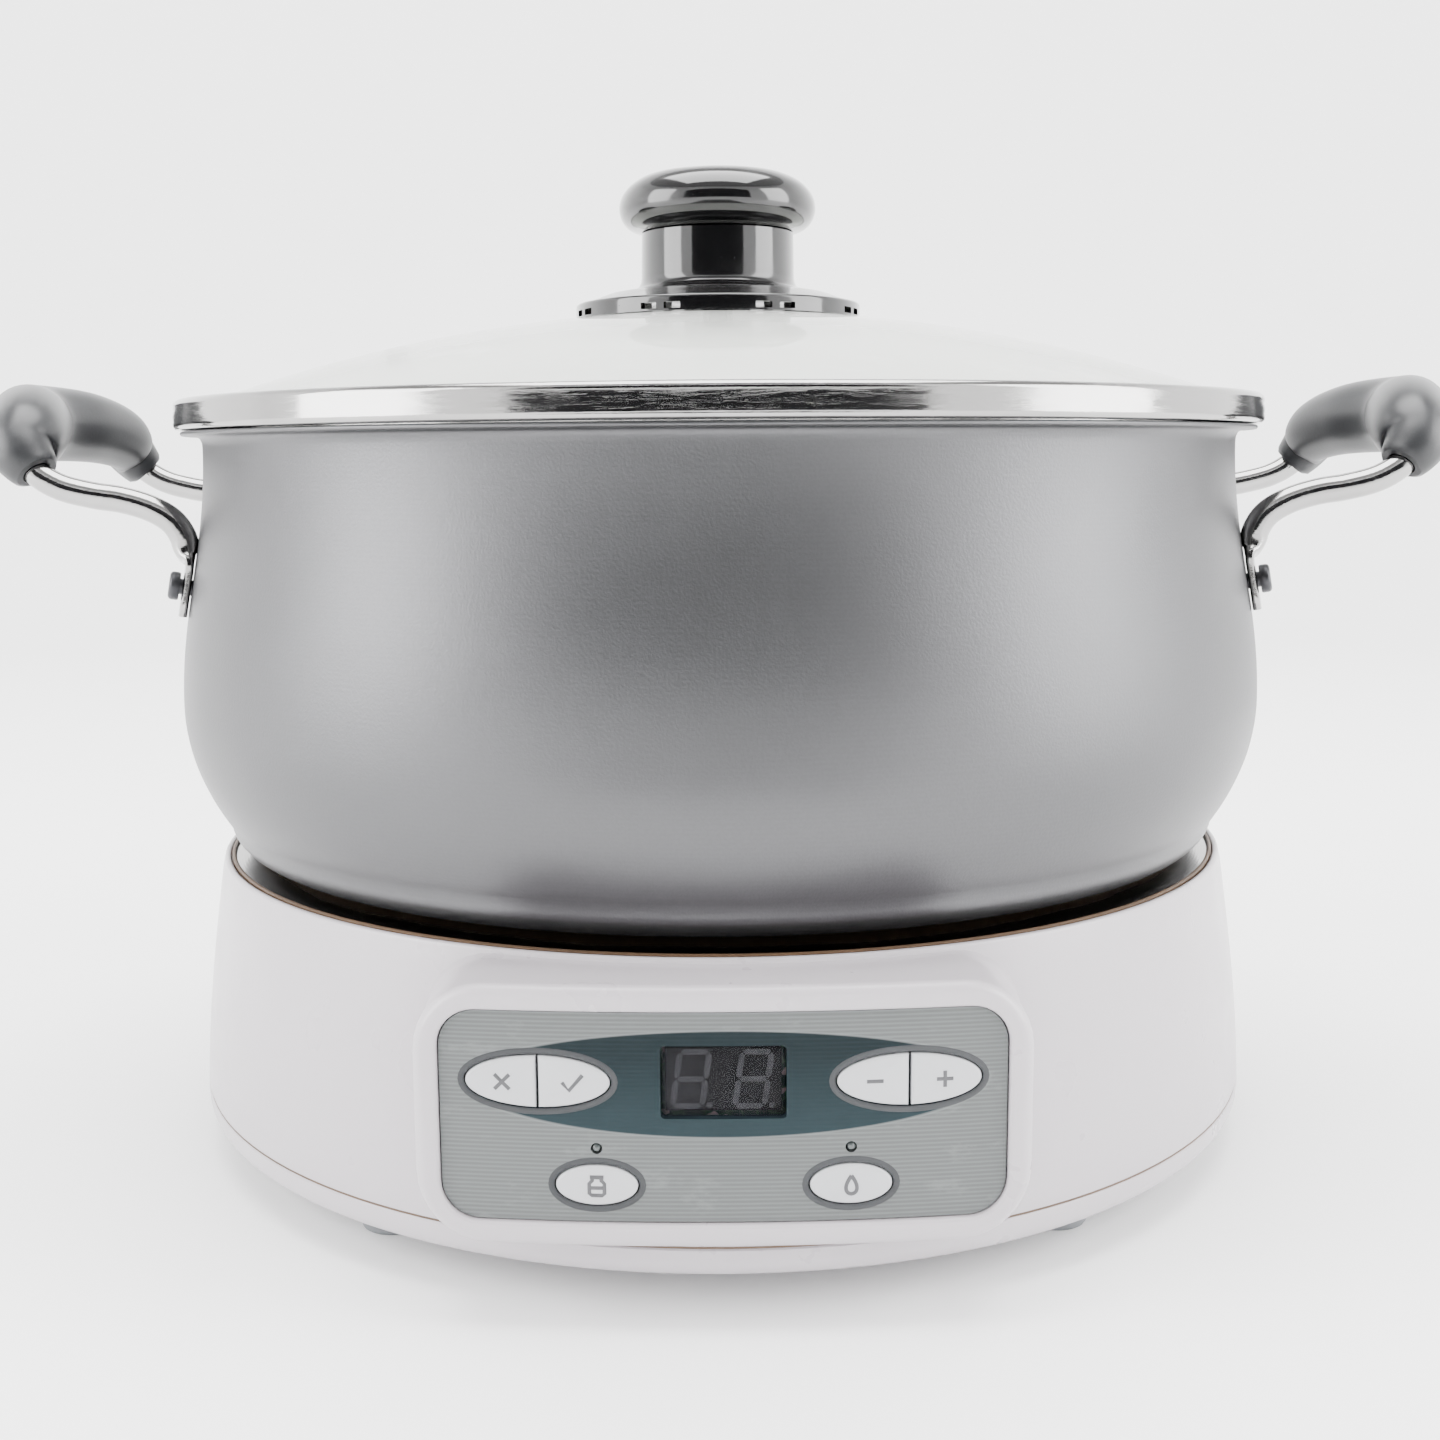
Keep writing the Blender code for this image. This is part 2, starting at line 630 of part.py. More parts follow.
def arc(centre_r, centre_z, half_width, half_height, start, end, steps):
    """Points of an elliptical arc in a turned outline; angles in degrees, 0 outwards and 90 up."""
    points = []
    for step in range(steps + 1):
        angle = math.radians(start + (end - start) * step / steps)
        points.append((centre_r + half_width * math.cos(angle), centre_z + half_height * math.sin(angle)))
    return points


def smooth_route(points, per_span):
    """A Catmull-Rom curve through the points."""
    places = [Vector(p) for p in points]
    ends = [2 * places[0] - places[1]] + places + [2 * places[-1] - places[-2]]
    route = []
    for a, b, c, d in zip(ends, ends[1:], ends[2:], ends[3:]):
        for step in range(per_span):
            t = step / per_span
            route.append(
                0.5
                * (2 * b + (c - a) * t + (2 * a - 5 * b + 4 * c - d) * t**2 + (3 * b - a - 3 * c + d) * t**3)
            )
    route.append(places[-1])
    return route


def around(radius, angle):
    return (radius * math.cos(angle), radius * math.sin(angle))


# ---- Shared outlines


def housing_radius(z):
    """The housing's outside: it flares from the rim to the skirt, more slowly lower down."""
    share = (RIM_HEIGHT - z) / (RIM_HEIGHT - SEAM_Z)
    flare = 0.4 * share + 0.6 * math.sin(share * math.pi / 2)
    return HOUSING_RIM_R + (HOUSING_SKIRT_R - HOUSING_RIM_R) * flare


def spread(first, last, count):
    return [first + (last - first) * i / (count - 1) for i in range(count)]


def pot_radius(height):
    """The pot's outside at a height above its underside, between the corner and the neck."""
    if height >= POT_BELLY_HEIGHT:
        span = POT_HEIGHT - POT_NECK_DROP - POT_BELLY_HEIGHT
        turn = min((height - POT_BELLY_HEIGHT) / span, 1.0)
        return POT_BELLY_R - (POT_BELLY_R - POT_NECK_R) * (1 - math.cos(math.pi * turn)) / 2
    drop = POT_BELLY_HEIGHT - height
    arc_bottom = POT_BELLY_HEIGHT - POT_CORNER_HEIGHT
    arc_fall = POT_LOWER_ARC_R - math.sqrt(POT_LOWER_ARC_R**2 - arc_bottom**2)
    wanted_fall = POT_BELLY_R - POT_FOOT_R - POT_CORNER_WIDTH
    fall = POT_LOWER_ARC_R - math.sqrt(POT_LOWER_ARC_R**2 - drop**2)
    return POT_BELLY_R - fall * wanted_fall / arc_fall


def dome_z(radius, sink=0.0):
    """Height of the glass dome, or of the sphere a depth below its outside."""
    ball = DOME_R - sink
    return DOME_TOP_Z - DOME_R + math.sqrt(ball**2 - radius**2)


# ---- Base pieces


def housing_outline():
    ledge_top = RIM_HEIGHT - LEDGE_DEPTH
    ledge_bottom = ledge_top - HOUSING_WALL
    outer_heights = spread(RIM_HEIGHT - RIM_EDGE, SEAM_Z + GAP, 6)
    inner_heights = spread(SEAM_Z + GAP, ledge_bottom, 4)
    inner_rim_r = HOUSING_RIM_R - HOUSING_WALL
    outline = [(HOUSING_RIM_R - HOUSING_WALL / 2, RIM_HEIGHT)]
    outline += [(housing_radius(z), z) for z in outer_heights]
    outline += [(housing_radius(z) - HOUSING_WALL, z) for z in inner_heights]
    outline += [
        (inner_rim_r - LEDGE_WIDTH, ledge_bottom),
        (inner_rim_r - LEDGE_WIDTH, ledge_top),
        (inner_rim_r, ledge_top),
        (inner_rim_r, RIM_HEIGHT - RIM_EDGE),
    ]
    return outline


def screw_places():
    angles = [SCREW_ANGLE, math.pi - SCREW_ANGLE, math.pi + SCREW_ANGLE, -SCREW_ANGLE]
    return [around(SCREW_CIRCLE_R, angle) for angle in angles]


def foot_places():
    angles = [
        -math.pi / 2 - FOOT_ANGLE,
        -math.pi / 2 + FOOT_ANGLE,
        math.pi / 2 - FOOT_ANGLE,
        math.pi / 2 + FOOT_ANGLE,
    ]
    return [around(FOOT_CIRCLE_R, angle) for angle in angles]


def make_housing():
    housing = turned("housing", housing_outline(), "white_plastic")
    boss_bottom = COVER_FLOOR_Z + GAP
    for number, (x, y) in enumerate(screw_places(), 1):
        place = Matrix.Translation((x, y, 0))
        boss_top = boss_bottom + SCREW_LENGTH
        join(housing, rod(f"boss_{number}", BOSS_R, boss_bottom, boss_top, matrix=place, steps=12))
        rib_length = HOUSING_SKIRT_R - SCREW_CIRCLE_R
        rib_low = SEAM_Z + 2 * GAP
        rib_top = boss_top - SINK
        rib_size = (rib_length, RIB_WIDTH, rib_top - rib_low)
        rib_centre = (SCREW_CIRCLE_R + rib_length / 2, 0, (rib_low + rib_top) / 2)
        turn = Matrix.Rotation(math.atan2(y, x), 4, "Z")
        join(housing, box(f"boss_rib_{number}", rib_size, rib_centre, None, turn))
    trim = turned("housing_trim", housing_envelope(0.0), None)
    keep_within(housing, trim)
    for number, (x, y) in enumerate(screw_places(), 1):
        place = Matrix.Translation((x, y, 0))
        hole_top = COVER_Z + SCREW_LENGTH - COVER_WALL
        hole = rod(f"boss_hole_{number}", SCREW_R + GAP, 0, hole_top, matrix=place, steps=TINY_STEPS)
        cut(housing, hole)
    opening = box(
        "panel_opening",
        (PANEL_WIDTH - 2 * PANEL_SEAT, 3 * CUT_ROOM, PANEL_HEIGHT - 2 * PANEL_SEAT),
        (0, -HOUSING_SKIRT_R, PANEL_Z),
    )
    gland_place = facing_front(0, GLAND_HEIGHT)
    wall_r = housing_radius(GLAND_HEIGHT)
    gland_hole = rod("gland_hole", GLAND_R + GAP, -wall_r - CUT_ROOM, CUT_ROOM - wall_r, matrix=gland_place)
    cut(housing, opening, gland_hole)
    return housing


def housing_envelope(margin):
    """A solid of the housing's outer shape, grown by a margin, to trim what meets it."""
    heights = spread(RIM_HEIGHT, SEAM_Z, 6)
    outline = [(0.0, RIM_HEIGHT + CUT_ROOM)]
    outline += [(HOUSING_RIM_R + margin, RIM_HEIGHT + CUT_ROOM)]
    outline += [(housing_radius(z) + margin, z) for z in heights]
    outline += [(HOUSING_SKIRT_R + margin, COVER_FLOOR_Z), (0.0, COVER_FLOOR_Z)]
    return outline


def make_base_cover():
    edge_r = HOUSING_SKIRT_R
    floor_r = edge_r - COVER_WALL
    outline = [(edge_r, SEAM_Z)]
    edge_width, edge_height = COVER_EDGE
    outline += arc(edge_r - edge_width, COVER_Z + edge_height, edge_width, edge_height, 0, -90, 3)
    outline += [(0.0, COVER_Z), (0.0, COVER_FLOOR_Z)]
    outline += [(floor_r - COVER_FILLET[0], COVER_FLOOR_Z)]
    outline += [(floor_r, COVER_FLOOR_Z + COVER_FILLET[1]), (floor_r, SEAM_Z)]
    cover = turned("base_cover", outline + [outline[0]], "white_plastic")
    for number, (x, y) in enumerate(board_posts(), 1):
        place = Matrix.Translation((x, y, 0))
        top = COVER_FLOOR_Z + POWER_BOARD_RISE - GAP
        post = rod(f"board_post_{number}", BOARD_POST_R, COVER_Z + SINK, top, matrix=place, steps=TINY_STEPS)
        join(cover, post)
    for number, (x, y) in enumerate(foot_places(), 1):
        place = Matrix.Translation((x, y, 0))
        cut(cover, rod(f"foot_hole_{number}", FOOT_STEM_R + GAP, 0, SEAM_Z, matrix=place, steps=10))
    for number, (x, y) in enumerate(screw_places(), 1):
        place = Matrix.Translation((x, y, 0))
        hole = rod(f"screw_hole_{number}", SCREW_R + GAP, 0, SEAM_Z, matrix=place, steps=TINY_STEPS)
        cut(cover, hole)
    for number, x in enumerate(spread(-VENT_REACH, VENT_REACH, VENT_SLOTS), 1):
        slot = box(f"vent_slot_{number}", (*VENT_SLOT_SIZE, CUT_ROOM), (x, VENT_PLACE_Y, COVER_Z))
        cut(cover, slot)
    return cover


def board_posts():
    """Under the power board, in from its corners."""
    reach_x = POWER_BOARD_SIZE[0] / 2 - BOARD_POST_INSET
    reach_y = POWER_BOARD_SIZE[1] / 2 - BOARD_POST_INSET
    x, y = POWER_BOARD_PLACE
    return [(x + sx * reach_x, y + sy * reach_y) for sx in (-1, 1) for sy in (-1, 1)]


def make_feet():
    """Rubber feet: a pad below the cover and a stem with a barb above its floor."""
    barb_z = COVER_FLOOR_Z + GAP
    outline = [
        (0.0, barb_z + BARB_HEIGHT),
        (BARB_TIP_R, barb_z + BARB_HEIGHT),
        (BARB_R, barb_z),
        (FOOT_STEM_R, barb_z),
        (FOOT_STEM_R, FOOT_HEIGHT),
        (FOOT_R, FOOT_HEIGHT),
        (FOOT_R - FOOT_TAPER, 0.0),
        (0.0, 0.0),
    ]
    names = ("foot_front_left", "foot_front_right", "foot_rear_right", "foot_rear_left")
    for name, (x, y) in zip(names, foot_places()):
        turned(name, outline, "foot_rubber", 10, Matrix.Translation((x, y, 0)))


def make_cover_screws():
    head_z = COVER_Z - GAP
    tip_z = COVER_Z + SCREW_LENGTH - COVER_WALL - SCREW_TIP_ROOM
    outline = [
        (0.0, tip_z),
        (SCREW_R, tip_z),
        (SCREW_R, head_z),
        (SCREW_HEAD_R, head_z),
        (SCREW_HEAD_R - SCREW_HEAD_TAPER, head_z - SCREW_HEAD_DEPTH),
        (0.0, head_z - SCREW_HEAD_DEPTH),
    ]
    for number, (x, y) in enumerate(screw_places(), 1):
        turned(f"cover_screw_{number}", outline, "zinc_screw", TINY_STEPS, Matrix.Translation((x, y, 0)))


def make_cord_gland():
    """A bush through the back of the housing; the supply cord would pass down its bore."""
    wall_r = housing_radius(GLAND_HEIGHT)
    outer_face = GLAND_REACH
    lip_outer = wall_r - HOUSING_WALL - GLAND_LIP_PLACE
    lip_inner = lip_outer - GLAND_LIP_DEPTH
    seat = wall_r + GLAND_SEAT
    outline = [
        (GLAND_R + GLAND_NOSE, outer_face),
        (GLAND_FLANGE_R, seat + GLAND_FLANGE_DEPTH),
        (GLAND_FLANGE_R, seat),
        (GLAND_R, seat),
        (GLAND_R, lip_outer),
        (GLAND_R + GLAND_LIP_WIDTH, lip_outer),
        (GLAND_R + GLAND_LIP_WIDTH, lip_inner),
        (CORD_HOLE_R, lip_inner),
        (CORD_HOLE_R, outer_face),
    ]
    backwards = Matrix.Translation((0, 0, GLAND_HEIGHT)) @ Matrix.Rotation(-math.pi / 2, 4, "X")
    turned("cord_gland", outline, "silicone", SMALL_STEPS, backwards)


# ---- Heater


def make_bowl():
    """The pressed dish under the pot: a flange on the housing's ledge, and a sunk floor."""
    top = RIM_HEIGHT - LEDGE_DEPTH + GAP + BOWL_SHEET
    inner_r = BOWL_FLANGE_R - BOWL_LIP
    floor_top = BOWL_FLOOR_Z
    floor_under = floor_top - BOWL_SHEET
    outline = [
        (BOWL_FLANGE_R, top),
        (BOWL_FLANGE_R, top - BOWL_SHEET),
        (inner_r, top - BOWL_SHEET),
        (inner_r - BOWL_DRAFT, floor_under),
        (BOWL_HOLE_R, floor_under),
        (BOWL_HOLE_R, floor_top),
        (inner_r - BOWL_SHEET - BOWL_DRAFT, floor_top),
        (inner_r - BOWL_SHEET, top),
    ]
    bowl = turned("heater_bowl", outline, "bright_steel")
    place = Matrix.Translation((0, SENSOR_CIRCLE_R, 0))
    hole = rod("bowl_sensor_hole", SENSOR_STEM_R + RUNNING_GAP, 0, RIM_HEIGHT, matrix=place)
    cut(bowl, hole)


def make_hot_plate():
    low = BOWL_FLOOR_Z + GAP
    outline = [
        (PLATE_R - PLATE_CHAMFER, PLATE_TOP_Z),
        (PLATE_R, PLATE_TOP_Z - PLATE_CHAMFER),
        (PLATE_R, low),
        (PLATE_HOLE_R, low),
        (PLATE_HOLE_R, PLATE_TOP_Z),
    ]
    plate = turned("hot_plate", outline, "cast_plate")
    place = Matrix.Translation((0, SENSOR_CIRCLE_R, 0))
    hole = rod("plate_sensor_hole", SENSOR_CAP_R + RUNNING_GAP, 0, MOUTH_Z, matrix=place)
    cut(plate, hole)


def make_heating_element():
    """A sheathed ring clamped under the bowl, with its two ends turned down at the back."""
    z = BOWL_FLOOR_Z - BOWL_SHEET - GAP - ELEMENT_TUBE_R
    start = math.pi / 2 + ELEMENT_OPENING / 2
    sweep = 2 * math.pi - ELEMENT_OPENING
    ring = [around(ELEMENT_R, start + sweep * i / ELEMENT_STEPS) for i in range(ELEMENT_STEPS + 1)]
    tails = []
    for angle in (start - TERMINAL_LEAD, start + sweep + TERMINAL_LEAD):
        x, y = around(ELEMENT_R, angle)
        tails.append([(x, y, z - TERMINAL_DROP), (x, y, z - ELEMENT_BEND)])
    route = tails[0] + [(x, y, z) for x, y in ring] + tails[1][::-1]
    tube("heating_element", route, ELEMENT_TUBE_R, "sheath_steel", sides=1)


def make_thermal_fuse():
    z = BOWL_FLOOR_Z - BOWL_SHEET - GAP - FUSE_SIZE[2] / 2
    fuse = box("thermal_fuse", FUSE_SIZE, (0, 0, 0), "ceramic", Matrix.Translation((FUSE_PLACE_X, 0.0, z)))
    soft = fuse.modifiers.new("Edges", "BEVEL")
    soft.width = FUSE_EDGE
    soft.segments = 1


def make_sensor():
    """A sprung button that the pot presses down, which feels the pot's heat."""
    place = Matrix.Translation((0, SENSOR_CIRCLE_R, SENSOR_TOP_Z))
    stem_bottom = -SENSOR_STEM_LENGTH
    outline = [
        (0.0, 0.0),
        (SENSOR_CAP_R - SENSOR_CHAMFER, 0.0),
        (SENSOR_CAP_R, -SENSOR_CHAMFER),
        (SENSOR_CAP_R, -SENSOR_CAP_DEPTH),
        (SENSOR_STEM_R, -SENSOR_CAP_DEPTH),
        (SENSOR_STEM_R, stem_bottom),
        (0.0, stem_bottom),
    ]
    turned("sensor_button", outline, "bright_steel", SMALL_STEPS, place)
    low = BOWL_FLOOR_Z + GAP + SPRING_WIRE_R
    high = SENSOR_CAP_Z - GAP - SPRING_WIRE_R
    heights = spread(low, high, SPRING_TURNS * SPRING_STEPS + 1)
    coil = []
    for i, height in enumerate(heights):
        x, y = around(SPRING_R, 2 * math.pi * i / SPRING_STEPS)
        coil.append((x, SENSOR_CIRCLE_R + y, height))
    tube("sensor_spring", coil, SPRING_WIRE_R, "bright_steel", sides=1)


# ---- Drive train


def gear_outline(teeth, module, turn=0.0):
    """Straight-flanked teeth with play; a tooth is centred on the turn angle."""
    pitch_r = module * teeth / 2
    tip_r = pitch_r + TOOTH_ADDENDUM * module
    root_r = pitch_r - TOOTH_DEDENDUM * module
    flanks = ((root_r, -TOOTH_ROOT), (tip_r, -TOOTH_TIP), (tip_r, TOOTH_TIP), (root_r, TOOTH_ROOT))
    step = 2 * math.pi / teeth
    points = []
    for tooth in range(teeth):
        centre = turn + tooth * step
        for radius, share in flanks:
            points.append(around(radius, centre + share * step))
    return points


def circle(radius, steps=SMALL_STEPS):
    return [around(radius, 2 * math.pi * i / steps) for i in range(steps)]


def gearbox_outline(margin):
    """Round the gears: a slab from the output gear to past the motor's pinion."""
    left = -OUTPUT_R - GEARBOX_SIDE_ROOM - margin
    right = IDLER_X + IDLER_LARGE_R + GEARBOX_END_ROOM + margin
    front = -OUTPUT_R - GEARBOX_SIDE_ROOM - margin
    back = PINION_Y + GEARBOX_BACK_ROOM + margin
    centre = ((left + right) / 2, (front + back) / 2)
    shape = rounded_rectangle(right - left, back - front, GEARBOX_CORNER_R)
    return [(x + centre[0], y + centre[1]) for x, y in shape]


def make_gearbox():
    case = extruded("gearbox_case", [gearbox_outline(GEARBOX_WALL)], GEARBOX_Z, GEARBOX_TOP_Z, "white_acetal")
    hollow = extruded(
        "gearbox_hollow", [gearbox_outline(0.0)], GEARBOX_Z - CUT_ROOM, GEARBOX_TOP_Z - GEARBOX_WALL
    )
    bush_hole = rod("bush_hole", DRIVE_SHAFT_R + RUNNING_GAP + BUSH_WALL + GAP, GEARBOX_Z, RIM_HEIGHT)
    cut(case, hollow, bush_hole)
    pinion_hole = circle(FINE_MODULE * PINION_TEETH / 2 + PINION_HOLE_ROOM)
    pinion_hole = [(x + IDLER_X, y + PINION_Y) for x, y in pinion_hole]
    shaft_hole = circle(DRIVE_SHAFT_R + RUNNING_GAP)
    cover = extruded(
        "gearbox_cover",
        [gearbox_outline(GEARBOX_WALL), pinion_hole, shaft_hole],
        GEARBOX_COVER_Z,
        GEARBOX_COVER_Z + GEARBOX_WALL,
        "white_acetal",
    )
    pin_top = GEARBOX_TOP_Z - GEARBOX_WALL - GAP
    place = Matrix.Translation((IDLER_X, 0, 0))
    pin = rod("idler_pin", IDLER_PIN_R, GEARBOX_COVER_Z + SINK, pin_top, matrix=place)
    join(cover, pin)


def make_bush():
    inner = DRIVE_SHAFT_R + RUNNING_GAP
    outer = inner + BUSH_WALL
    top = GEARBOX_TOP_Z + GAP + BUSH_FLANGE_DEPTH
    outline = [
        (outer + BUSH_FLANGE, top),
        (outer + BUSH_FLANGE, GEARBOX_TOP_Z + GAP),
        (outer, GEARBOX_TOP_Z + GAP),
        (outer, GEARBOX_TOP_Z - GEARBOX_WALL),
        (inner, GEARBOX_TOP_Z - GEARBOX_WALL),
        (inner, top),
    ]
    turned("shaft_bush", outline, "bronze", SMALL_STEPS)


def make_drive():
    """The output gear, its shaft and the coupling bar that turns the pot's shaft."""
    low = HIGH_GEAR_Z
    gear = extruded(
        "output_drive", [gear_outline(OUTPUT_TEETH, COARSE_MODULE)], low, low + GEAR_FACE, "white_acetal"
    )
    bar_z = BAR_TOP_Z - COUPLING_BAR[2]
    shaft = rod("drive_shaft", DRIVE_SHAFT_R, GEARBOX_COVER_Z + RUNNING_GAP, bar_z + SINK)
    bar = box("coupling_bar", COUPLING_BAR, (0, 0, bar_z + COUPLING_BAR[2] / 2))
    join(gear, shaft, bar)


def make_idler():
    place = Matrix.Translation((IDLER_X, 0, 0))
    small_turn = math.pi + math.pi / IDLER_SMALL_TEETH
    idler = extruded(
        "idler_gear",
        [gear_outline(IDLER_LARGE_TEETH, FINE_MODULE, math.pi / 2)],
        LOW_GEAR_Z,
        LOW_GEAR_Z + GEAR_FACE,
        "white_acetal",
        place,
    )
    small = extruded(
        "idler_small_gear",
        [gear_outline(IDLER_SMALL_TEETH, COARSE_MODULE, small_turn)],
        LOW_GEAR_Z + GEAR_FACE - SINK,
        HIGH_GEAR_Z + GEAR_FACE,
        matrix=place,
    )
    bore = rod("idler_bore", IDLER_PIN_R + RUNNING_GAP, 0, RIM_HEIGHT, matrix=place)
    cut(join(idler, small), bore)


def make_motor():
    place = Matrix.Translation((IDLER_X, PINION_Y, 0))
    turn = -math.pi / 2 + math.pi / PINION_TEETH
    pinion = extruded(
        "motor_pinion",
        [gear_outline(PINION_TEETH, FINE_MODULE, turn)],
        LOW_GEAR_Z,
        LOW_GEAR_Z + GEAR_FACE,
        "bright_steel",
        place,
    )
    shaft_low = MOTOR_TOP_Z - MOTOR_SHAFT_DEPTH
    join(pinion, rod("motor_shaft", MOTOR_SHAFT_R, shaft_low, LOW_GEAR_Z + SINK, matrix=place))
    bore_r = MOTOR_SHAFT_R + RUNNING_GAP
    outline = [
        (MOTOR_R - MOTOR_CHAMFER, MOTOR_TOP_Z),
        (MOTOR_R, MOTOR_TOP_Z - MOTOR_CHAMFER),
        (MOTOR_R, MOTOR_Z + MOTOR_CHAMFER),
        (MOTOR_R - MOTOR_CHAMFER, MOTOR_Z),
        (0.0, MOTOR_Z),
        (0.0, shaft_low - RUNNING_GAP),
        (bore_r, shaft_low - RUNNING_GAP),
        (bore_r, MOTOR_TOP_Z),
    ]
    turned("motor", outline + [outline[0]], "motor_steel", 20, place)


def make_power_board():
    x, y = POWER_BOARD_PLACE
    z = COVER_FLOOR_Z + POWER_BOARD_RISE
    top = z + BOARD_THICKNESS
    middle = (x, y, z + BOARD_THICKNESS / 2)
    board = box("power_board", (*POWER_BOARD_SIZE, BOARD_THICKNESS), middle, "board_green")
    for name, size, place in (
        ("transformer", TRANSFORMER_SIZE, TRANSFORMER_PLACE),
        ("relay", RELAY_SIZE, RELAY_PLACE),
    ):
        centre = (x + place[0], y + place[1], top + size[2] / 2 - GAP)
        join(board, box(name, size, centre))
    place = Matrix.Translation((x + CAPACITOR_PLACE[0], y + CAPACITOR_PLACE[1], 0))
    join(board, rod("capacitor", CAPACITOR_R, top - GAP, top + CAPACITOR_HEIGHT, matrix=place))


# ---- Control panel


def bow_cylinder(name, radius):
    """An upright cylinder whose front is the panel's bowed face, moved in or out."""
    centre = Matrix.Translation((0, -PANEL_FRONT + PANEL_BOW_R, PANEL_Z))
    return rod(name, radius, -RIM_HEIGHT, RIM_HEIGHT, matrix=centre, steps=BOW_STEPS)


def panel_slab(name, outlines, front_r, back_r, finish=None, x=0.0, z=0.0):
    """An outline cut from a bowed sheet whose faces lie on two upright cylinders."""
    near = PANEL_FRONT - CUT_ROOM
    far = PANEL_FRONT + CUT_ROOM
    made = extruded(name, outlines, near, far, finish, facing_front(x, z))
    keep_within(made, bow_cylinder(f"{name}_front", front_r))
    cut(made, bow_cylinder(f"{name}_back", back_r))
    return made


def make_bezel():
    place = facing_front(0, PANEL_Z)
    far = PANEL_FRONT + CUT_ROOM
    outline = rounded_rectangle(BEZEL_WIDTH, BEZEL_HEIGHT, BEZEL_CORNER_R)
    block = extruded("bezel", [outline], BEZEL_BACK, far, "white_plastic", place)
    keep_within(block, bow_cylinder("bezel_front", PANEL_BOW_R + PANEL_RECESS))
    soft = block.modifiers.new("Front edge", "BEVEL")
    soft.width = BEZEL_EDGE_R
    soft.segments = 2
    soft.limit_method = "ANGLE"
    soft.angle_limit = math.radians(60)
    cut(block, turned("bezel_back", housing_envelope(GAP)))
    pocket = rounded_rectangle(PANEL_WIDTH + 2 * GAP, PANEL_HEIGHT + 2 * GAP, PANEL_CORNER_R + GAP)
    pocket_cutter = extruded("panel_pocket", [pocket], PANEL_FRONT - CUT_ROOM, far, matrix=place)
    cut(pocket_cutter, bow_cylinder("pocket_floor", PANEL_BACK_R - GAP))
    through_width = PANEL_WIDTH - 2 * PANEL_SEAT
    through_height = PANEL_HEIGHT - 2 * PANEL_SEAT
    through = rounded_rectangle(through_width, through_height, PANEL_CORNER_R)
    through_cutter = extruded("panel_through", [through], BEZEL_BACK - CUT_ROOM, far, matrix=place)
    cut(block, pocket_cutter, through_cutter)


def button_list():
    """Each button's name, which half of an oval it is (0 for a whole one) and its place."""
    rows = []
    for side, outer, inner in ((-1, "cancel", "enter"), (1, "plus", "minus")):
        for name, half in ((outer, side), (inner, -side)):
            rows.append((f"button_{name}", half, side * PAIR_OFFSET, UPPER_ROW_Z))
    rows.append(("button_jam", 0, -SINGLE_OFFSET, LOWER_ROW_Z))
    rows.append(("button_jelly", 0, SINGLE_OFFSET, LOWER_ROW_Z))
    return rows


def button_shape(half, grow):
    if half:
        width = PAIR_HALF_WIDTH - GAP + grow
        return half_ellipse(width, PAIR_HALF_HEIGHT - GAP + grow, half, PAIR_SPLIT)
    return ellipse(SINGLE_HALF_WIDTH - GAP + grow, SINGLE_HALF_HEIGHT - GAP + grow, SMALL_STEPS)


def stem_offset(half):
    """A half button's stem stands near the middle of its own half."""
    return half * PAIR_HALF_WIDTH * BUTTON_STEM_SHARE


def make_buttons():
    lip_front = PANEL_BACK_R - GAP
    lip_back = lip_front - BUTTON_LIP_DEPTH
    cap_front = PANEL_BOW_R + BUTTON_PROUD
    cap_back = lip_front - BUTTON_LIP_DEPTH / 2
    stem_near = -(BOARD_Y - SWITCH_DEPTH - BUTTON_TRAVEL - GAP)
    stem_far = PANEL_FRONT - PANEL_THICKNESS
    for name, half, x, z in button_list():
        shape = button_shape(half, 0.0)
        wide_shape = button_shape(half, BUTTON_LIP)
        cap = panel_slab(name, [shape], cap_front, cap_back, "button_rubber", x, z)
        lip = panel_slab(f"{name}_lip", [wide_shape], lip_front, lip_back, None, x, z)
        place = facing_front(x + stem_offset(half), z)
        stem = rod(f"{name}_stem", BUTTON_STEM_R, stem_near, stem_far, matrix=place, steps=TINY_STEPS)
        join(cap, lip, stem)


